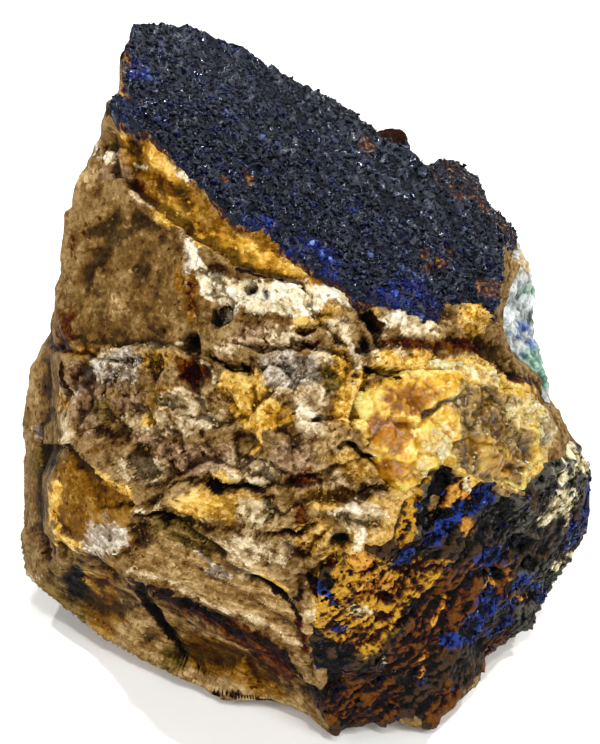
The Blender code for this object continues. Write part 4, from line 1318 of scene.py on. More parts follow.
ROCK_PLACES = {
    "tan": (
        [PLATE, WALL],
        [
            (-23.4, -4.5, 0.6, 2.5), (-26.6, 0.6, 0.9, 2.6), (-19.6, 7.4, 2.6, 1.6),
            (-17.9, 16.6, 1.0, 1.0), (-20.0, 13.8, 1.1, 0.9), (-19.4, 23.8, 0.5, 0.6),
            (-20.9, 20.3, 1.4, 1.1), (-15.5, 8.1, 0.6, 0.5), (-17.3, 7.0, 0.6, 0.5), (-14.0, 6.8, 0.6, 0.5),
            (-12.8, 6.5, 0.4, 0.9), (-13.4, 11.5, 0.7, 0.7), (-14.6, 14.4, 0.6, 0.5),
            (-15.4, 2.7, 0.8, 0.6), (-9.2, -2.8, 1.5, 1.9), (-15.1, -9.2, 2.8, 1.2),
            (-2.4, -13.0, 1.5, 2.0), (3.4, -6.6, 2.0, 2.0), (7.6, -11.0, 1.4, 1.0), (2.6, -9.8, 2.4, 1.6),
        ],
        [],
    ),
    "umber": (
        [
            BAND, LUMP,
            [(-13.6, -25.6), (-8.4, -26.0), (-2.2, -29.4), (-1.6, -31.4), (-6.8, -31.0), (-10.8, -29.2)],
        ],
        [
            (-16.4, 21.6, 1.6, 1.6), (-19.6, -22.4, 1.8, 3.8), (-10.9, 9.6, 1.0, 3.6),
            (4.9, -2.6, 1.6, 2.4), (-13.0, -2.4, 2.0, 1.6), (-20.8, 2.8, 1.6, 0.6),
        ],
        [],
    ),
    "limonite": (
        [
            GOLDEN_FACET,
            [
                (3.0, -17.0), (6.5, -12.5), (11.5, -9.2), (12.6, -12.0), (9.0, -16.5), (6.0, -22.0),
                (2.0, -26.0), (0.8, -23.0),
            ],
        ],
        [
            (17.0, 5.4, 1.6, 1.6), (6.8, 7.4, 0.8, 0.9), (-14.0, 1.9, 2.2, 1.0), (6.4, -8.4, 3.0, 1.5),
            (7.6, -2.5, 2.4, 1.1), (1.4, -15.6, 2.0, 1.8), (3.0, -11.8, 2.2, 1.4), (9.0, 2.4, 1.6, 1.4),
            (2.6, 6.8, 1.6, 1.2),
        ],
        [],
    ),
    "rust": (
        # The first loop is the painted shadow under the lip.
        [UNDER_LIP_SHADE, [(8.2, 4.8), (13.0, 4.3), (17.6, 3.8), (17.6, 2.0), (13.0, 2.8), (9.0, 3.4)]],
        [
            (-23.5, 4.7, 1.0, 2.4), (-22.7, 13.5, 0.5, 1.2), (-16.3, 19.4, 1.0, 1.0),
            (-10.4, 0.6, 1.7, 1.6), (-22.4, -5.1, 0.7, 0.6), (-19.4, -4.9, 0.6, 0.5),
            (-20.6, -6.8, 1.4, 0.4), (0.2, -13.4, 0.9, 1.7), (3.7, -19.4, 1.4, 1.4), (0.6, -9.6, 1.4, 1.2),
            (-5.2, 14.8, 1.8, 0.6), (-10.6, 8.4, 0.6, 1.8),
        ],
        [
            (0.3, [(-3.8, 5.0), (-0.9, 4.9)]), (0.4, [(-1.2, 4.2), (1.6, 3.6)]),
            (0.4, [(-2.6, -15.0), (0.0, -15.4)]),
            (0.45, [(17.6, 2.9), (19.4, 1.0), (21.4, 0.0), (23.7, -1.7)]),
            (0.4, [(-0.2, -24.2), (0.8, -27.4)]),
        ],
    ),
    "purple": (
        [],
        [
            (-18.1, 20.4, 1.3, 1.1), (-3.9, 4.2, 3.4, 1.5), (-0.5, -7.4, 2.2, 1.9), (-10.2, -7.7, 4.4, 1.9),
            (-14.9, -6.4, 1.8, 0.9), (-22.1, 1.1, 1.0, 0.7), (-19.3, -13.7, 0.5, 0.5),
            (8.4, -11.2, 1.1, 0.8), (-21.2, -2.2, 2.2, 3.0), (-17.0, -2.6, 1.6, 1.0),
        ],
        [],
    ),
    "grey": (
        [],
        [
            (-0.3, 1.1, 3.0, 1.9), (-10.6, 12.6, 0.9, 2.2), (-17.7, 2.1, 1.8, 1.3), (-17.0, 0.0, 1.4, 0.9),
            (-19.4, 0.6, 1.0, 1.4), (-22.0, -1.1, 0.5, 0.5), (-20.8, 0.2, 0.5, 0.5),
            (-19.3, -16.0, 2.5, 1.8), (-8.5, -19.1, 1.1, 0.5), (-26.5, -5.5, 0.6, 0.8),
            (-25.7, -19.6, 0.9, 0.4), (3.2, -21.8, 1.0, 0.9), (-9.8, -16.4, 1.6, 0.5),
        ],
        [(0.3, [(-11.0, -16.6), (-8.8, -18.4), (-6.6, -19.6)])],
    ),
    "olive": (
        # Both loops are olive stain with painted shade in it.
        [SHADED_VALLEY, SHADED_UNDERCUT],
        [
            (-25.9, -8.6, 1.3, 1.6), (-25.6, -13.0, 0.8, 1.6), (-12.3, -27.6, 1.6, 1.8),
            (3.6, 0.0, 1.2, 1.6), (-8.8, 3.0, 1.4, 0.8), (-13.0, -2.4, 1.5, 1.0), (-19.6, -3.2, 1.6, 1.2),
            (-17.4, -9.0, 1.0, 0.8),
        ],
        [],
    ),
    "cream": (
        [],
        [
            (-4.1, 0.0, 0.9, 0.7), (-1.3, -0.9, 0.9, 0.5), (1.3, -1.6, 2.0, 1.4), (0.9, -4.6, 2.1, 1.2),
            (-11.4, -2.6, 2.6, 1.2), (-8.0, -0.5, 0.5, 0.5), (-10.1, -4.3, 1.8, 0.8),
            (-15.0, -4.6, 2.6, 1.3), (-15.4, -9.4, 2.4, 1.4), (-5.2, -9.4, 3.4, 1.5),
            (-5.0, -13.4, 1.5, 1.4), (-5.0, -16.8, 2.2, 1.4), (-1.6, -17.0, 1.2, 1.1),
            (-20.2, -17.0, 0.4, 0.3), (-18.2, -17.3, 0.7, 0.5), (6.1, -13.4, 2.4, 1.3),
            (1.2, -23.2, 0.7, 0.7), (3.6, -10.2, 1.2, 0.9), (-5.2, -19.4, 0.8, 0.4), (8.0, 3.0, 2.6, 0.8),
            (11.4, 5.6, 2.4, 0.9), (-6.4, 2.9, 1.4, 0.6), (-2.2, 3.2, 1.2, 0.5), (2.4, 2.2, 1.0, 0.8),
            (4.0, 5.4, 1.4, 1.0), (-1.6, 4.6, 2.2, 0.8),
        ],
        [
            (0.35, [(3.6, 5.6), (4.8, 4.4), (5.8, 2.7), (6.2, 1.2)]),
            (0.25, [(-10.4, 1.8), (-9.4, 1.3), (-8.2, -0.2)]),
            (0.25, [(-16.8, -12.9), (-15.2, -13.1), (-13.6, -11.3)]),
            (0.22, [(-20.7, 2.0), (-19.3, 2.7), (-18.6, 3.4), (-16.4, 3.9), (-13.0, 3.5), (-11.8, 3.7)]),
            (0.25, [(-23.4, -1.5), (-23.5, -6.3)]),
            # Painted highlights: these two pale lines run along the lit lower edge of the limonite band.
            (0.22, [(-16.5, 18.3), (-15.3, 17.3), (-13.9, 16.1), (-11.8, 14.6)]),
            (0.15, [(-6.3, 11.5), (-3.0, 10.6), (0.3, 9.4)]),
            # A painted highlight along the lip's edge.
            (
                0.3,
                [(-17.0, -19.4), (-13.0, -20.3), (-9.5, -22.0), (-5.5, -23.6), (-1.0, -26.2), (0.4, -27.0)],
            ),
        ],
    ),
    "quartz": (
        [
            [
                (-8.4, 10.6), (-5.6, 10.2), (-2.8, 9.6), (1.4, 9.2), (3.4, 8.4), (1.4, 6.6), (-2.8, 7.0),
                (-6.0, 7.4), (-8.4, 8.4),
            ],
        ],
        [
            (-19.2, 22.9, 0.9, 0.4), (-18.8, 21.9, 0.5, 0.25), (-11.4, 20.1, 1.0, 0.6),
            (-7.8, 6.9, 0.9, 0.8), (0.6, -3.6, 0.9, 1.3), (-5.6, -0.2, 1.2, 0.4), (6.1, -15.9, 0.8, 1.3),
            (5.0, -13.2, 1.2, 0.6), (9.6, 6.0, 1.4, 0.7),
        ],
        [
            (0.5, [(-10.8, 13.2), (-9.8, 11.0), (-9.2, 8.6)]), (0.5, [(0.3, 9.4), (3.0, 9.2), (5.4, 8.0)]),
            (0.15, [(-16.7, 21.7), (-15.0, 20.7)]), (0.2, [(7.5, -7.6), (8.5, -8.1)]),
        ],
    ),
    "gold": (
        [GOLDEN_EDGE, UNDER_HONEY],
        [
            (-12.5, 16.4, 2.0, 1.4), (-16.9, 24.8, 0.7, 0.35), (-11.1, 17.5, 0.4, 0.4),
            (0.4, 6.0, 1.1, 0.5), (-5.3, -0.6, 2.2, 1.6), (-4.6, -3.2, 2.8, 1.9), (5.0, -2.2, 1.4, 2.0),
            (6.2, 0.2, 1.6, 0.9), (-15.0, -4.4, 1.0, 0.5), (-7.8, -9.8, 1.2, 0.5), (-10.0, -12.2, 2.2, 1.2),
            (-23.5, -2.3, 0.4, 0.8), (-20.8, -19.4, 0.6, 0.6), (7.4, -21.2, 2.4, 1.8),
            (6.4, -18.4, 1.2, 1.2), (7.8, -2.4, 2.2, 1.0), (8.8, 2.6, 1.0, 1.1), (16.4, 6.8, 1.0, 0.9),
            (11.6, 2.0, 2.2, 0.9), (4.2, 1.4, 0.7, 1.4),
        ],
        [
            (0.5, [(-15.4, 23.2), (-14.0, 21.8), (-11.6, 19.4)]),
            (0.3, [(-1.0, -3.7), (-3.9, -5.1), (-4.7, -7.1)]),
            (0.28, [(-22.9, -7.1), (-21.9, -8.1), (-20.3, -8.8), (-19.0, -9.7)]),
            (0.35, [(-24.4, -10.8), (-24.6, -13.5), (-24.0, -15.8)]),
            (0.35, [(-19.9, -10.0), (-18.0, -11.4), (-17.2, -12.5)]),
            (0.3, [(-23.7, -16.0), (-21.9, -17.1)]), (0.35, [(-3.7, -19.5), (-2.5, -20.2), (-1.4, -20.8)]),
        ],
    ),
    "dark": (
        [KNOB],
        [
            # The first spot is painted shade deep in the undercut below the lump.
            (-22.2, -20.2, 1.2, 2.2), (-18.5, 26.5, 0.4, 0.4), (-5.1, 9.2, 0.5, 0.4), (-3.5, 8.9, 0.5, 0.3),
            (-8.6, 6.6, 0.5, 0.9), (-11.1, 3.8, 0.7, 1.2), (-4.1, 2.0, 0.4, 0.35), (-9.7, -5.4, 0.3, 0.3),
            (1.6, -3.8, 0.5, 0.3), (-24.7, -8.6, 0.4, 0.8), (-25.8, -12.8, 0.4, 0.8),
            (0.0, -21.5, 0.5, 0.7), (4.1, -16.0, 0.8, 0.8), (6.6, 3.5, 0.8, 1.1), (5.6, 0.4, 0.5, 0.7),
            (20.4, 0.6, 1.4, 0.5), (-0.8, -6.6, 0.5, 0.4),
        ],
        [
            # Painted shadow under the azurite's overhanging lower edge, in these two lines.
            (0.3, [(-18.2, 26.6), (-15.0, 24.6), (-13.0, 22.6), (-10.3, 20.2), (-7.2, 17.2), (-5.6, 15.8)]),
            (0.3, [(-1.5, 13.3), (0.9, 11.0), (3.0, 10.0)]),
            (0.55, [(5.4, 8.1), (6.6, 6.6), (8.0, 5.4)]),
            # Painted shadow under the band's lower edge.
            (0.22, [(-6.1, 11.2), (-4.2, 10.5), (-2.4, 10.2)]),
            (0.25, [(-0.1, 5.2), (1.8, 5.0)]),
            (0.3, [(-8.9, 2.3), (-7.0, 1.3), (-6.3, 0.4), (-4.9, 1.2)]),
            (0.2, [(-23.3, 1.8), (-22.9, -1.1)]),
            # Painted shadow under the pink chunk, along a crack.
            (0.28, [(-9.6, -10.2), (-8.0, -11.0), (-6.8, -11.2), (-5.3, -10.8), (-3.9, -10.9)]),
            (0.2, [(-23.6, -6.7), (-22.5, -7.0)]),
            # Painted shadow under the golden blade.
            (0.25, [(-16.7, -13.3), (-14.6, -13.4), (-13.0, -13.9)]),
            (0.35, [(-17.0, -20.5), (-15.1, -22.8), (-14.1, -24.5), (-12.8, -25.7)]),
            (0.28, [(-12.8, -25.5), (-11.5, -27.5), (-10.0, -29.0)]),
            (0.28, [(-4.8, -19.9), (-3.5, -20.8), (-2.0, -21.4), (-1.0, -22.2), (0.0, -23.8)]),
            (0.35, [(4.9, -6.6), (6.2, -7.5), (8.0, -8.4), (9.0, -9.2), (9.7, -10.4)]),
            (0.25, [(6.2, -11.7), (8.5, -10.5)]),
            (0.5, [(1.3, -20.0), (2.5, -22.0)]),
            (0.22, [(6.5, 1.0), (8.5, 0.8), (10.0, 0.2), (11.0, 1.0)]),
            # Painted shadow under the lip's edge.
            (
                0.3,
                [(-16.8, -20.6), (-13.0, -21.6), (-9.5, -23.2), (-5.5, -25.2), (-1.6, -27.6), (0.0, -29.6)],
            ),
            # Painted shade along the foot, where the rock turns under towards the table.
            (
                0.22,
                [(-14.0, -29.6), (-10.0, -31.4), (-7.0, -32.0), (-5.0, -31.6), (-1.5, -32.5), (1.0, -34.0)],
            ),
            (0.9, CREST),
        ],
    ),
}
STAIN_STRENGTH = {
    "tan": 0.9,
    "umber": 0.95,
    "cream": 0.85,
    "rust": 0.85,
    "purple": 0.8,
    "grey": 0.9,
    "olive": 0.85,
}
BACK_COVERS = {
    # the size, seed and threshold of the patches of each stain where the front's places don't reach
    "tan": (9.0, 701, 0.05),
    "umber": (7.0, 710, 0.3),
    "limonite": (6.0, 702, 0.2),
    "rust": (7.0, 703, 0.25),
    "purple": (8.0, 704, 0.35),
    "grey": (5.5, 709, 0.45),
    "olive": (8.5, 707, 0.35),
    "cream": (5.0, 711, 0.35),
    "quartz": (6.5, 705, 0.4),
    "gold": (5.0, 706, 0.62),
    "dark": (4.0, 708, 0.95),
}


def rock_paint(points, away, places):
    """How much of each stain shows at each point of the rock, from 0 to 1, and how layered the rock looks
    there."""
    front = facing_share(away)
    ragged = wandering(places, points, 0.8)
    painted = {}
    for label, places_of in ROCK_PLACES.items():
        size, seed, threshold = BACK_COVERS[label]
        patches = swell(points, size, seed) + 0.35 * swell(points, size / 3.0, seed + 20)
        behind_it = ease(0.5 + (patches - threshold) / 0.3)
        painted[label] = front * laid(ragged, *places_of, fade=1.0) + (1.0 - front) * behind_it
        painted[label] *= STAIN_STRENGTH.get(label, 1.0)
    crest = ease((CREST_REACH + 3.0 - distance_to(points, CREST_LINE)) / 2.0)
    painted["dark"] = np.maximum(painted["dark"], crest)
    painted["layered"] = front * laid(ragged, [LAYERED, BAND, PLATE, WALL]) + 0.5 * (1.0 - front)
    painted["rough"] = 1.0 - 0.7 * front * laid(ragged, CALM, fade=1.0)
    return painted


def druse_paint(points, places):
    """Where the azurite is bluest, the rows that its crystals stand in, and where matrix shows through
    it."""
    ragged = wandering(places, points, 0.8)
    low_edge = np.exp(-((distance_to(ragged, np.array(BROW_LINE)) / 1.1) ** 2))
    low_edge = low_edge * ease((places[:, 0] + 8.0) / 8.0)
    ridge = np.exp(-((distance_to(ragged, np.array(KNOB_RIDGE)) / 0.4) ** 2))
    blue = np.maximum(0.45 * low_edge, laid(ragged, spots=BLUE_SPOTS, fade=1.0))
    blue = np.maximum(blue, 0.22 * ease(swell(points, 4.5, 651) + 0.3))
    # The bed between the crystals is painted near-black, as shade between them.
    painted = {"blue": blue, "tone": np.full(len(points), 0.08)}
    edge = ease(0.9 - crust_depth("azurite_druse", unit(points - CORE)) / 0.5)
    painted["bare"] = np.maximum.reduce(
        [edge, laid(ragged, spots=BARE_SPOTS, fade=0.35), 0.9 * ridge, 0.34 * laid(ragged, [KNOB], fade=0.8)]
    )
    # Painted light and shade: the rows' tone is lighter on their crests and darker between them.
    painted["rows"] = 0.5 + 0.5 * swell(drawn_out(points, ROW_DIRECTION, 4.0), 0.9, 661)
    return painted


def placed_paint(table, scatter=0.8):
    """A paint function for a crust, from its table of places."""

    def paint(points, places):
        """One cover for each row of the table."""
        ragged = wandering(places, points, scatter)
        return {label: laid(ragged, *places_of, fade=0.9) for label, places_of in table.items()}

    return paint


# ---- Finishes ----

LIGHT = 1.02  # how many times its own colour a face shows in the studio light
VEIL = 0.016  # the glare that the light lays over every colour


def pigment(red, green, blue):
    """The colour that a finish needs to look like these display values, from 0 to 255, in the studio
    light."""
    values = np.array([red, green, blue]) / 255.0
    shown = np.where(values <= 0.04045, values / 12.92, ((values + 0.055) / 1.055) ** 2.4)
    return (*np.clip((shown - VEIL) / LIGHT, 0.0, 1.0), 1.0)


class Finish:
    """A node material, built up one node at a time. Sizes of patterns are in millimetres."""

    def __init__(self, name):
        """A new material with its shader and its Object place."""
        self.material = bpy.data.materials.new(name)
        self.material.use_nodes = True
        self.tree = self.material.node_tree
        self.shader = self.tree.nodes["Principled BSDF"]
        self.place = self.node("ShaderNodeTexCoord").outputs["Object"]

    def node(self, kind, values=(), **settings):
        """A node with its settings, and with its inputs linked or given values."""
        made = self.tree.nodes.new(kind)
        for key, value in settings.items():
            setattr(made, key, value)
        for key, value in dict(values).items():
            if isinstance(value, bpy.types.NodeSocket):
                self.tree.links.new(value, made.inputs[key])
            else:
                made.inputs[key].default_value = value
        return made

    def noise(self, size, detail=4.0, roughness=0.6, place=None):
        """Fractal noise around 0.5."""
        values = {"Vector": place or self.place, "Scale": 1.0 / (size * MM)}
        values |= {"Detail": detail, "Roughness": roughness}
        return self.node("ShaderNodeTexNoise", values).outputs["Fac"]

    def mottle(self, size, detail=5.0, roughness=0.65, low=0.34, high=0.66, place=None):
        """Noise stretched to fill 0 to 1."""
        made = self.noise(size, detail, roughness, place)
        return self.node("ShaderNodeMapRange", {0: made, 1: low, 2: high}).outputs[0]

    def layers_place(self, flat, across):
        """The place turned so that the rock's dipping layers lie flat, and squeezed across them."""
        run, rise = -math.sin(LAYER_DIP), math.cos(LAYER_DIP)
        normal = Vector((run, rise * math.sin(LEAN), rise * math.cos(LEAN)))
        turn = normal.rotation_difference(Vector((0.0, 0.0, 1.0))).to_euler()
        values = {"Vector": self.place, "Rotation": tuple(turn), "Scale": (flat, flat, across)}
        return self.node("ShaderNodeMapping", values, vector_type="POINT").outputs[0]

    def vector(self, operation, first, second=(0.0, 0.0, 0.0), third=(0.0, 0.0, 0.0)):
        """A sum on vectors."""
        return self.node("ShaderNodeVectorMath", {0: first, 1: second, 2: third}, operation=operation).outputs

    def moved_place(self, distance):
        """The place moved along, for a pattern unlike the one in the same node elsewhere."""
        return self.vector("ADD", self.place, (distance * MM,) * 3)[0]

    def ragged_place(self, size, amount):
        """The place moved by noise, for patterns whose edges shouldn't be straight."""
        values = {"Vector": self.place, "Scale": 1.0 / (size * MM), "Detail": 2.0}
        moved = self.node("ShaderNodeTexNoise", values).outputs["Color"]
        return self.vector("MULTIPLY_ADD", moved, (amount * MM,) * 3, self.place)[0]

    def cells(self, size, place=None):
        """Random grains of this size."""
        return self.node("ShaderNodeTexVoronoi", {"Vector": place or self.place, "Scale": 1.0 / (size * MM)})

    def cell_tones(self, size, place=None):
        """Three random numbers from 0 to 1 that each grain owns."""
        return self.node("ShaderNodeSeparateColor", {0: self.cells(size, place).outputs["Color"]}).outputs

    def math(self, operation, first, second=0.5, third=0.5):
        """A sum on numbers."""
        return self.node("ShaderNodeMath", {0: first, 1: second, 2: third}, operation=operation).outputs[0]

    def summed(self, *shares):
        """0.5, plus (value - 0.5) x weight for each value and weight."""
        total = 0.5 - 0.5 * sum(weight for _, weight in shares)
        for value, weight in shares:
            total = self.math("MULTIPLY_ADD", value, weight, total)
        return total

    def spread(self, value, low, high, bottom=0.0, top=1.0):
        """Smoothstep from low to high, stretched to bottom and top."""
        values = {0: value, 1: low, 2: high, 3: bottom, 4: top}
        return self.node("ShaderNodeMapRange", values, interpolation_type="SMOOTHSTEP").outputs[0]

    def ramp(self, value, *stops):
        """A colour for each value, through the (position, colour) stops."""
        made = self.node("ShaderNodeValToRGB", {0: value})
        elements = made.color_ramp.elements
        while len(elements) < len(stops):
            elements.new(0.5)
        for element, (position, colour) in zip(elements, stops):
            element.position = position
            element.color = colour
        return made.outputs["Color"]

    def mix(self, share, first, second):
        """One colour eased into another."""
        return self.node("ShaderNodeMix", {0: share, 6: first, 7: second}, data_type="RGBA").outputs[2]

    def painted(self, label):
        """A value that the mesh carries at its points."""
        return self.node("ShaderNodeAttribute", attribute_name=label).outputs["Fac"]

    def edged(self, label, grit, swing=0.85):
        """A painted cover broken up by grains: smoothstep of cover + swing (grit - 0.5)."""
        moved = self.math("MULTIPLY_ADD", grit, swing, -0.5 * swing)
        return self.spread(self.math("ADD", self.painted(label), moved), 0.3, 0.7)

    def bump(self, height, distance, normal=None):
        """A normal bent by a height of this many millimetres."""
        values = {"Height": height, "Distance": distance * MM}
        if normal:
            values["Normal"] = normal
        return self.node("ShaderNodeBump", values).outputs["Normal"]

    def grain_faces(self, size, share, slope, normal=None, place=None):
        """Small flat faces: each random grain is a plane, height = share x slope x (its own three random
        numbers - 0.5) . (place - the grain's middle)."""
        place = place or self.place
        cells = self.cells(size, place)
        tilt = self.vector("SUBTRACT", cells.outputs["Color"], (0.5, 0.5, 0.5))[0]
        off = self.vector("SUBTRACT", place, cells.outputs["Position"])[0]
        height = self.math("MULTIPLY", self.vector("DOT_PRODUCT", tilt, off)["Value"], share)
        return self.bump(height, slope / MM, normal)

    def finish(self, **sockets):
        """Sets the shader's own sockets."""
        for key, value in sockets.items():
            socket = self.shader.inputs[key.replace("_", " ")]
            if isinstance(value, bpy.types.NodeSocket):
                self.tree.links.new(value, socket)
            else:
                socket.default_value = value
        return self.material


TONE_STOPS = (0.12, 0.5, 0.9)
# dark, middle and light tones of each stain and mineral, as they look in the studio light
ROCK_TONES = {
    "brown": ((58, 39, 20), (108, 82, 48), (162, 134, 92)),
    "tan": ((72, 48, 20), (134, 104, 62), (198, 170, 124)),
    "umber": ((62, 36, 8), (116, 80, 28), (172, 134, 74)),
    "limonite": ((78, 48, 12), (154, 114, 48), (220, 184, 114)),
    "rust": ((24, 11, 3), (62, 35, 13), (114, 74, 34)),
    "purple": ((58, 37, 24), (122, 94, 66), (190, 162, 130)),
    "grey": ((62, 52, 42), (144, 128, 108), (232, 222, 204)),
    "olive": ((36, 27, 14), (88, 70, 38), (146, 122, 74)),
    "cream": ((96, 72, 42), (172, 146, 106), (236, 220, 184)),
    "quartz": ((146, 116, 70), (222, 204, 164), (253, 250, 238)),
    "gold": ((106, 64, 8), (190, 142, 54), (242, 210, 130)),
    "dark": ((6, 4, 2), (22, 14, 8), (58, 40, 24)),
}
HONEY_TONES = {
    None: ((184, 128, 24), (228, 178, 58), (250, 222, 126)),
    "amber": ((144, 88, 5), (168, 109, 11), (202, 146, 42)),
    "olive": ((64, 42, 6), (114, 84, 28), (178, 148, 84)),
    "amber_glow": ((110, 70, 8), (160, 116, 32), (206, 168, 78)),
    "beige": ((100, 74, 34), (170, 142, 92), (228, 208, 164)),
    "pale": ((200, 148, 58), (240, 204, 120), (254, 240, 196)),
}
GOETHITE_TONES = {
    None: ((3, 1, 1), (22, 12, 8), (72, 56, 44)),
    "steel": ((3, 2, 1), (24, 21, 17), (86, 83, 74)),
    "rust": ((12, 4, 1), (52, 27, 7), (106, 66, 28)),
    "gold": ((34, 14, 1), (108, 67, 10), (196, 148, 54)),
    "orange": ((58, 26, 3), (148, 88, 20), (212, 156, 72)),
    "cream": ((92, 76, 46), (172, 156, 110), (236, 226, 190)),
    "blue": ((2, 2, 12), (9, 12, 52), (46, 64, 134)),
    "dark": ((2, 1, 1), (9, 6, 5), (28, 20, 16)),
}
MALACHITE_TONES = {
    None: ((62, 70, 72), (134, 142, 138), (210, 212, 204)),
    "tan": ((84, 64, 38), (156, 132, 94), (212, 196, 162)),
    "green": ((34, 58, 46), (82, 120, 102), (156, 186, 166)),
    "white": ((112, 116, 110), (178, 186, 184), (232, 238, 236)),
    "blue": ((30, 40, 78), (80, 104, 158), (154, 178, 206)),
    "dark": ((18, 20, 30), (46, 50, 60), (98, 100, 100)),
}


def toned(finish, tone, tones):
    """The dark, middle and light tone shared out by a value from 0 to 1."""
    return finish.ramp(tone, *zip(TONE_STOPS, (pigment(*colour) for colour in tones)))


def stained(finish, tone, grits, tones):
    """The first tones all over, with each painted cover's tones laid on in turn, each broken up its own
    way."""
    colour = None
    for number, (label, three) in enumerate(tones.items()):
        ramp = toned(finish, tone, three)
        share = number and finish.edged(label, grits[number % len(grits)])
        colour = finish.mix(share, colour, ramp) if number else ramp
    return colour


def mosaic(finish, size, fine_size, patch_size, place):
    """Tones that each coarse and each fine grain owns, and three different patterns of grains to break
    covers up."""
    coarse, fine = finish.cell_tones(size, place), finish.cell_tones(fine_size, place)
    grits = []
    for n in range(3):
        patches = finish.mottle(patch_size, 7.0, 0.8, place=finish.moved_place(13.0 * n))
        grits.append(finish.summed((coarse[n], 0.35), (fine[n - 2], 0.25), (patches, 0.4)))
    return coarse, fine, grits


def rock_finish():
    """Quartz and limonite: each stain has its own three tones, shared out grain by grain and streaked along
    the layers, darkened in the hollows as painted shade, paler on worn edges, with pale and black specks."""
    made = Finish("quartz_and_limonite")
    bent = made.ragged_place(0.5, 0.5)
    coarse, fine, grits = mosaic(made, 1.2, 0.36, 1.7, bent)
    # The worn value darkens the hollows as painted shade and lightens worn edges.
    tone = made.summed(
        (made.mottle(2.2, 8.0, 0.78), 0.36),
        (made.mottle(0.6, 6.0, 0.8), 0.4),
        (coarse[0], 0.14),
        (fine[0], 0.24),
        (made.painted("wear_and_hollow_shade"), 0.4),
    )
    streaks = made.mottle(1.3, 5.0, 0.7, place=made.layers_place(0.2, 1.4))
    streaks = made.math("MULTIPLY_ADD", streaks, 0.4, -0.2)
    even = made.spread(made.painted("rough"), 0.3, 1.0, 0.8, 1.0)
    tone = made.math("MULTIPLY_ADD", made.math("SUBTRACT", tone, 0.5), even, 0.5)
    tone = made.math("MULTIPLY_ADD", made.painted("layered"), streaks, tone)
    # Pale specks, partly pale grains and partly painted glints.
    pale = made.math("MULTIPLY", made.spread(fine[1], 0.88, 0.98), made.mottle(3.2, 4.0))
    black = made.math("MULTIPLY", made.spread(fine[2], 0.12, 0.03), made.mottle(2.4, 5.0))
    tone = made.math("MULTIPLY_ADD", pale, 0.35, tone)
    tone = made.math("MULTIPLY_ADD", black, -0.4, tone)
    colour = stained(made, tone, grits, ROCK_TONES)
    # Painted shade: the hollows are darkened towards a dark brown.
    hollow_shade = made.spread(made.painted("wear_and_hollow_shade"), 0.24, 0.02, 0.0, 0.7)
    colour = made.mix(hollow_shade, colour, pigment(34, 20, 8))
    normal = made.bump(made.noise(0.3, 6.0, 0.75), 0.08)
    normal = made.grain_faces(1.0, made.painted("rough"), 0.6, normal, bent)
    normal = made.grain_faces(0.4, made.painted("rough"), 0.7, normal, bent)
    rough = made.spread(made.noise(0.6, 3.0), 0.3, 0.75, 0.45, 0.85)
    return made.finish(Base_Color=colour, Roughness=rough, Normal=normal, IOR=1.45, Specular_IOR_Level=0.05)


AZURITE_SHEEN = (0.6, 0.7, 1.0, 1.0)  # azurite's faces reflect more blue than red


def azurite_finish():
    """Azurite: near-black blue, royal blue where it is thin or freshly grown, glassy faces, brown where
    bare."""
    made = Finish("azurite")
    # The rows value paints light and shade along the crystal rows.
    tone = made.summed((made.painted("tone"), 0.7), (made.painted("rows"), 0.6), (made.mottle(2.4, 5.0), 0.5))
    deep = made.ramp(
        tone,
        (0.15, pigment(1, 2, 9)),
        (0.5, pigment(6, 10, 32)),
        (0.8, pigment(22, 29, 60)),
        # The lightest stop is a painted grey highlight.
        (1.0, pigment(74, 88, 122)),
    )
    royal = made.ramp(
        tone,
        (0.15, pigment(4, 5, 20)),
        (0.5, pigment(18, 25, 74)),
        (0.8, pigment(38, 54, 126)),
        # The lightest stop is a painted pale-blue glint.
        (1.0, pigment(110, 134, 192)),
    )
    grit = made.mottle(1.1, 6.0, 0.8)
    blue = made.math("MULTIPLY_ADD", grit, 0.9, made.math("ADD", made.painted("blue"), -0.5))
    colour = made.mix(made.spread(blue, 0.1, 0.95), deep, royal)
    stain = made.ramp(
        made.mottle(0.5, 4.0),
        (0.1, pigment(18, 11, 6)),
        (0.6, pigment(66, 42, 18)),
        (0.95, pigment(150, 106, 52)),
    )
    bare = made.edged("bare", grit, 0.9)
    colour = made.mix(bare, colour, stain)
    rough = made.math("MULTIPLY_ADD", bare, 0.4, made.spread(made.noise(0.45, 1.0), 0.48, 0.6, 0.5, 0.05))
    normal = made.bump(made.noise(0.16, 3.0, 0.7), 0.02)
    return made.finish(
        Base_Color=colour,
        Roughness=rough,
        Normal=normal,
        IOR=1.73,
        Specular_IOR_Level=0.18,
        Specular_Tint=AZURITE_SHEEN,
    )


def honey_finish():
    """Glassy honey-coloured crystal: light goes in and comes back golden, paler on its crest and olive to
    the right."""
    made = Finish("honey_crystal")
    bent = made.ragged_place(0.7, 0.5)
    coarse, fine, grits = mosaic(made, 1.6, 0.5, 1.6, bent)
    # The worn value darkens the hollows as painted shade and lightens worn edges.
    tone = made.summed(
        (made.mottle(2.0, 6.0), 0.4),
        (coarse[0], 0.35),
        (fine[0], 0.15),
        (made.painted("wear_and_hollow_shade"), 0.4),
    )
    colour = stained(made, tone, grits, HONEY_TONES)
    normal = made.bump(made.noise(0.45, 4.0, 0.6), 0.05)
    normal = made.grain_faces(1.3, 1.0, 0.5, normal)
    normal = made.grain_faces(0.5, 1.0, 0.3, normal)
    rough = made.spread(made.noise(0.5, 2.0), 0.3, 0.7, 0.08, 0.32)
    return made.finish(
        Base_Color=colour,
        Roughness=rough,
        Normal=normal,
        IOR=1.54,
        Specular_IOR_Level=0.42,
        Transmission_Weight=0.25,
        Subsurface_Weight=0.55,
        Subsurface_Radius=(0.0026, 0.0014, 0.0004),
        Subsurface_Scale=1.0,
    )


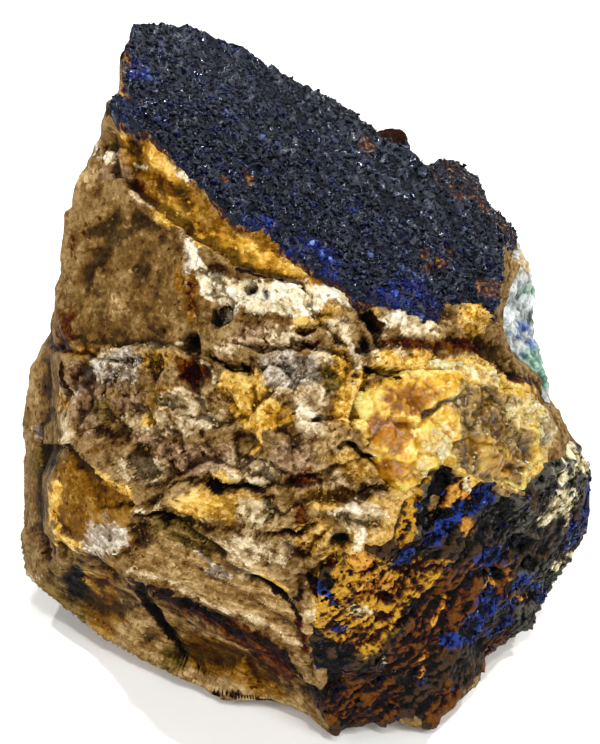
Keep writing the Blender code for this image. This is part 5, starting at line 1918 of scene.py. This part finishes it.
def goethite_finish():
    """Goethite boxwork: brown-black, with golden limonite, rust, blue azurite dust and cream lumps."""
    made = Finish("goethite")
    bent = made.ragged_place(0.5, 0.5)
    coarse, fine, grits = mosaic(made, 1.1, 0.36, 1.4, bent)
    # The worn value darkens the hollows as painted shade and lightens worn edges.
    tone = made.summed(
        (made.mottle(1.6, 8.0, 0.72), 0.5),
        (coarse[0], 0.2),
        (fine[0], 0.35),
        (made.painted("wear_and_hollow_shade"), 0.85),
        (made.painted("rows"), 0.4),
    )
    colour = stained(made, tone, grits, GOETHITE_TONES)
    # Painted shade: the hollows are darkened towards near-black, or rust-brown in the golden part.
    hollow_shade = made.spread(made.painted("wear_and_hollow_shade"), 0.38, 0.08, 0.0, 0.85)
    hollow_shade_colour = made.mix(made.painted("gold"), pigment(6, 4, 3), pigment(48, 25, 6))
    colour = made.mix(hollow_shade, colour, hollow_shade_colour)
    normal = made.bump(made.noise(0.3, 5.0, 0.75), 0.08)
    normal = made.grain_faces(0.8, 1.0, 0.8, normal, bent)
    normal = made.grain_faces(0.36, 1.0, 0.8, normal, bent)
    rough = made.spread(made.noise(0.5, 3.0), 0.3, 0.75, 0.25, 0.6)
    return made.finish(Base_Color=colour, Roughness=rough, Normal=normal, IOR=1.6, Specular_IOR_Level=0.07)


def malachite_finish():
    """Malachite: teal-green lumps with white, tan and blue among them."""
    made = Finish("malachite")
    _, fine, grits = mosaic(made, 0.9, 0.4, 1.2, made.ragged_place(0.5, 0.5))
    # The worn value darkens the hollows as painted shade and lightens worn edges.
    tone = made.summed((made.painted("wear_and_hollow_shade"), 0.4), (made.mottle(1.0, 5.0, 0.7), 0.6), (fine[0], 0.2))
    colour = stained(made, tone, grits, MALACHITE_TONES)
    normal = made.bump(made.noise(0.35, 4.0, 0.7), 0.06)
    normal = made.grain_faces(0.6, 1.0, 0.4, normal)
    return made.finish(Base_Color=colour, Roughness=0.5, Normal=normal, IOR=1.6, Specular_IOR_Level=0.25)


def floor_finish():
    """A plain pale board with the faintest mottling."""
    made = Finish("pale_floor")
    colour = made.ramp(made.noise(60.0, 2.0), (0.3, (0.92, 0.92, 0.91, 1.0)), (0.7, (0.96, 0.96, 0.95, 1.0)))
    return made.finish(Base_Color=colour, Roughness=0.7)


# ---- The specimen, the floor, the light and the camera ----


UNWORN_UNSHADED_RISE = 3.0  # the painted wear and hollow shade are nil at the table, and full from here up


def add_rock(material):
    """The host rock: one folded grid over the whole round."""
    away = folded_grid(ROCK_CELLS)
    points, places = rock_surface(away)
    painted = rock_paint(points, away, places)
    # Painted shade in the hollows and pale worn edges, faded out towards the table.
    wear_and_hollow_shade = wear_and_shade(np.linalg.norm(points - CORE, axis=1), ROCK_CELLS + 1)
    painted["wear_and_hollow_shade"] = 0.5 + (wear_and_hollow_shade - 0.5) * ease(height_above_table(points) / UNWORN_UNSHADED_RISE)
    points, faces, painted = used_only(points, folded_faces(ROCK_CELLS), painted)
    piece = add_mesh("rock", points, faces, material, painted, smooth=True)
    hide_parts("host_rock")


FLOOR_HALF = 2.5  # metres


def add_floor():
    """A flat square board under the specimen."""
    half = FLOOR_HALF
    corners = [(-half, -half, 0), (half, -half, 0), (half, half, 0), (-half, half, 0)]
    mesh = bpy.data.meshes.new("floor")
    mesh.from_pydata(corners, [], [(0, 1, 2, 3)])
    mesh.materials.append(floor_finish())
    floor = bpy.data.objects.new("floor", mesh)
    bpy.context.scene.collection.objects.link(floor)


AIM_UP = 0.8  # how far above the display frame's origin the view is centred
EYE = (-CENTRE_X, -SIGHT * math.cos(LEAN) - CENTRE_Y, SIGHT * math.sin(LEAN) + HEART_HEIGHT)
AIM = (-CENTRE_X, AIM_UP * math.sin(LEAN) - CENTRE_Y, AIM_UP * math.cos(LEAN) + HEART_HEIGHT)
SENSOR = 36.0
VIEW_HEIGHT = 74.4  # millimetres seen from top to bottom, at the display frame's middle


def aimed(thing, eye, aim):
    """Puts a camera or a light at a place in millimetres, looking at another."""
    eye, aim = Vector(eye), Vector(aim)
    thing.location = eye * MM
    thing.rotation_euler = (aim - eye).to_track_quat("-Z", "Y").to_euler()
    bpy.context.scene.collection.objects.link(thing)


def add_camera():
    """A lens SIGHT away from the display frame's origin, looking down at LEAN."""
    lens = bpy.data.cameras.new("camera")
    lens.sensor_width = SENSOR
    lens.lens = SENSOR * SIGHT / VIEW_HEIGHT
    lens.clip_start = 0.01
    camera = bpy.data.objects.new("camera", lens)
    aimed(camera, EYE, AIM)
    bpy.context.scene.camera = camera


LIGHTS = {
    # where it stands and what it lights, in mm; width in mm; watts
    "key": ((230, -330, 420), (0, 0, 30), 150, 1.3),
    "side": ((-380, -160, 300), (0, 0, 25), 160, 0.55),
    "top": ((60, 240, 460), (0, 0, 40), 130, 0.55),
    "fill": ((-60, -460, 170), (0, 0, 25), 200, 0.7),
    "glint_left": ((-220, 160, 380), (0, 0, 45), 14, 0.8),
    "glint_right": ((260, 100, 340), (0, 0, 45), 14, 0.8),
    "glint_back": ((20, 330, 300), (0, 0, 45), 14, 0.8),
    "glint_front": ((60, -240, 420), (0, 0, 45), 14, 0.5),
}
WORLD_LIGHT = 0.32


def add_lights():
    """Soft lamps, small glint lamps for the crystals' faces, and an even white surrounding."""
    for name, (place, aim, width, power) in LIGHTS.items():
        lamp = bpy.data.lights.new(name, "AREA")
        lamp.size = width * MM
        lamp.energy = power
        aimed(bpy.data.objects.new(name, lamp), place, aim)
    world = bpy.data.worlds.new("studio")
    world.use_nodes = True
    world.node_tree.nodes["Background"].inputs["Color"].default_value = (1.0, 1.0, 1.0, 1.0)
    world.node_tree.nodes["Background"].inputs["Strength"].default_value = WORLD_LIGHT
    bpy.context.scene.world = world


def goethite_paint(points, places):
    """The goethite's covers, and the rows that its blades run in."""
    painted = placed_paint(GOETHITE_PLACES)(points, places)
    painted["rows"] = 0.5 + 0.5 * swell(drawn_out(points, BLADE_DIRECTION, 5.0), 0.6, 662)
    return painted


def add_specimen():
    """Every piece, each in its own finish."""
    rock, azurite, honey, goethite = rock_finish(), azurite_finish(), honey_finish(), goethite_finish()
    honey_paint = placed_paint(HONEY_PLACES)
    add_rock(rock)
    add_rock_grains(rock)
    add_crust("azurite_druse", "druse_bed", azurite, druse_paint)
    for name in BED_CRYSTALS:
        add_bed_crystals(name, azurite)
    add_crust("honey_crystals", "honey_seam", honey, honey_paint)
    grained = ("honey_crystals", "honey_grains", 2600, ["pale", "beige"], 0.5, 75)
    add_crust_grains(*grained, honey_paint, honey, "honey_crystal")
    add_crust("goethite_crust", "goethite_boxwork", goethite, goethite_paint)
    grained = ("goethite_crust", "goethite_grains", 4000, ["cream", "steel", "gold"], 0.4, 76)
    add_crust_grains(*grained, goethite_paint, goethite, "goethite")
    add_goethite_azurite(azurite)
    malachite_paint = placed_paint(MALACHITE_PLACES, 0.5)
    add_crust("malachite_crust", "malachite_lumps", malachite_finish(), malachite_paint)


add_camera()
add_specimen()
add_floor()
add_lights()
bpy.context.scene.view_settings.view_transform = "Standard"

bpy.context.view_layer.update()
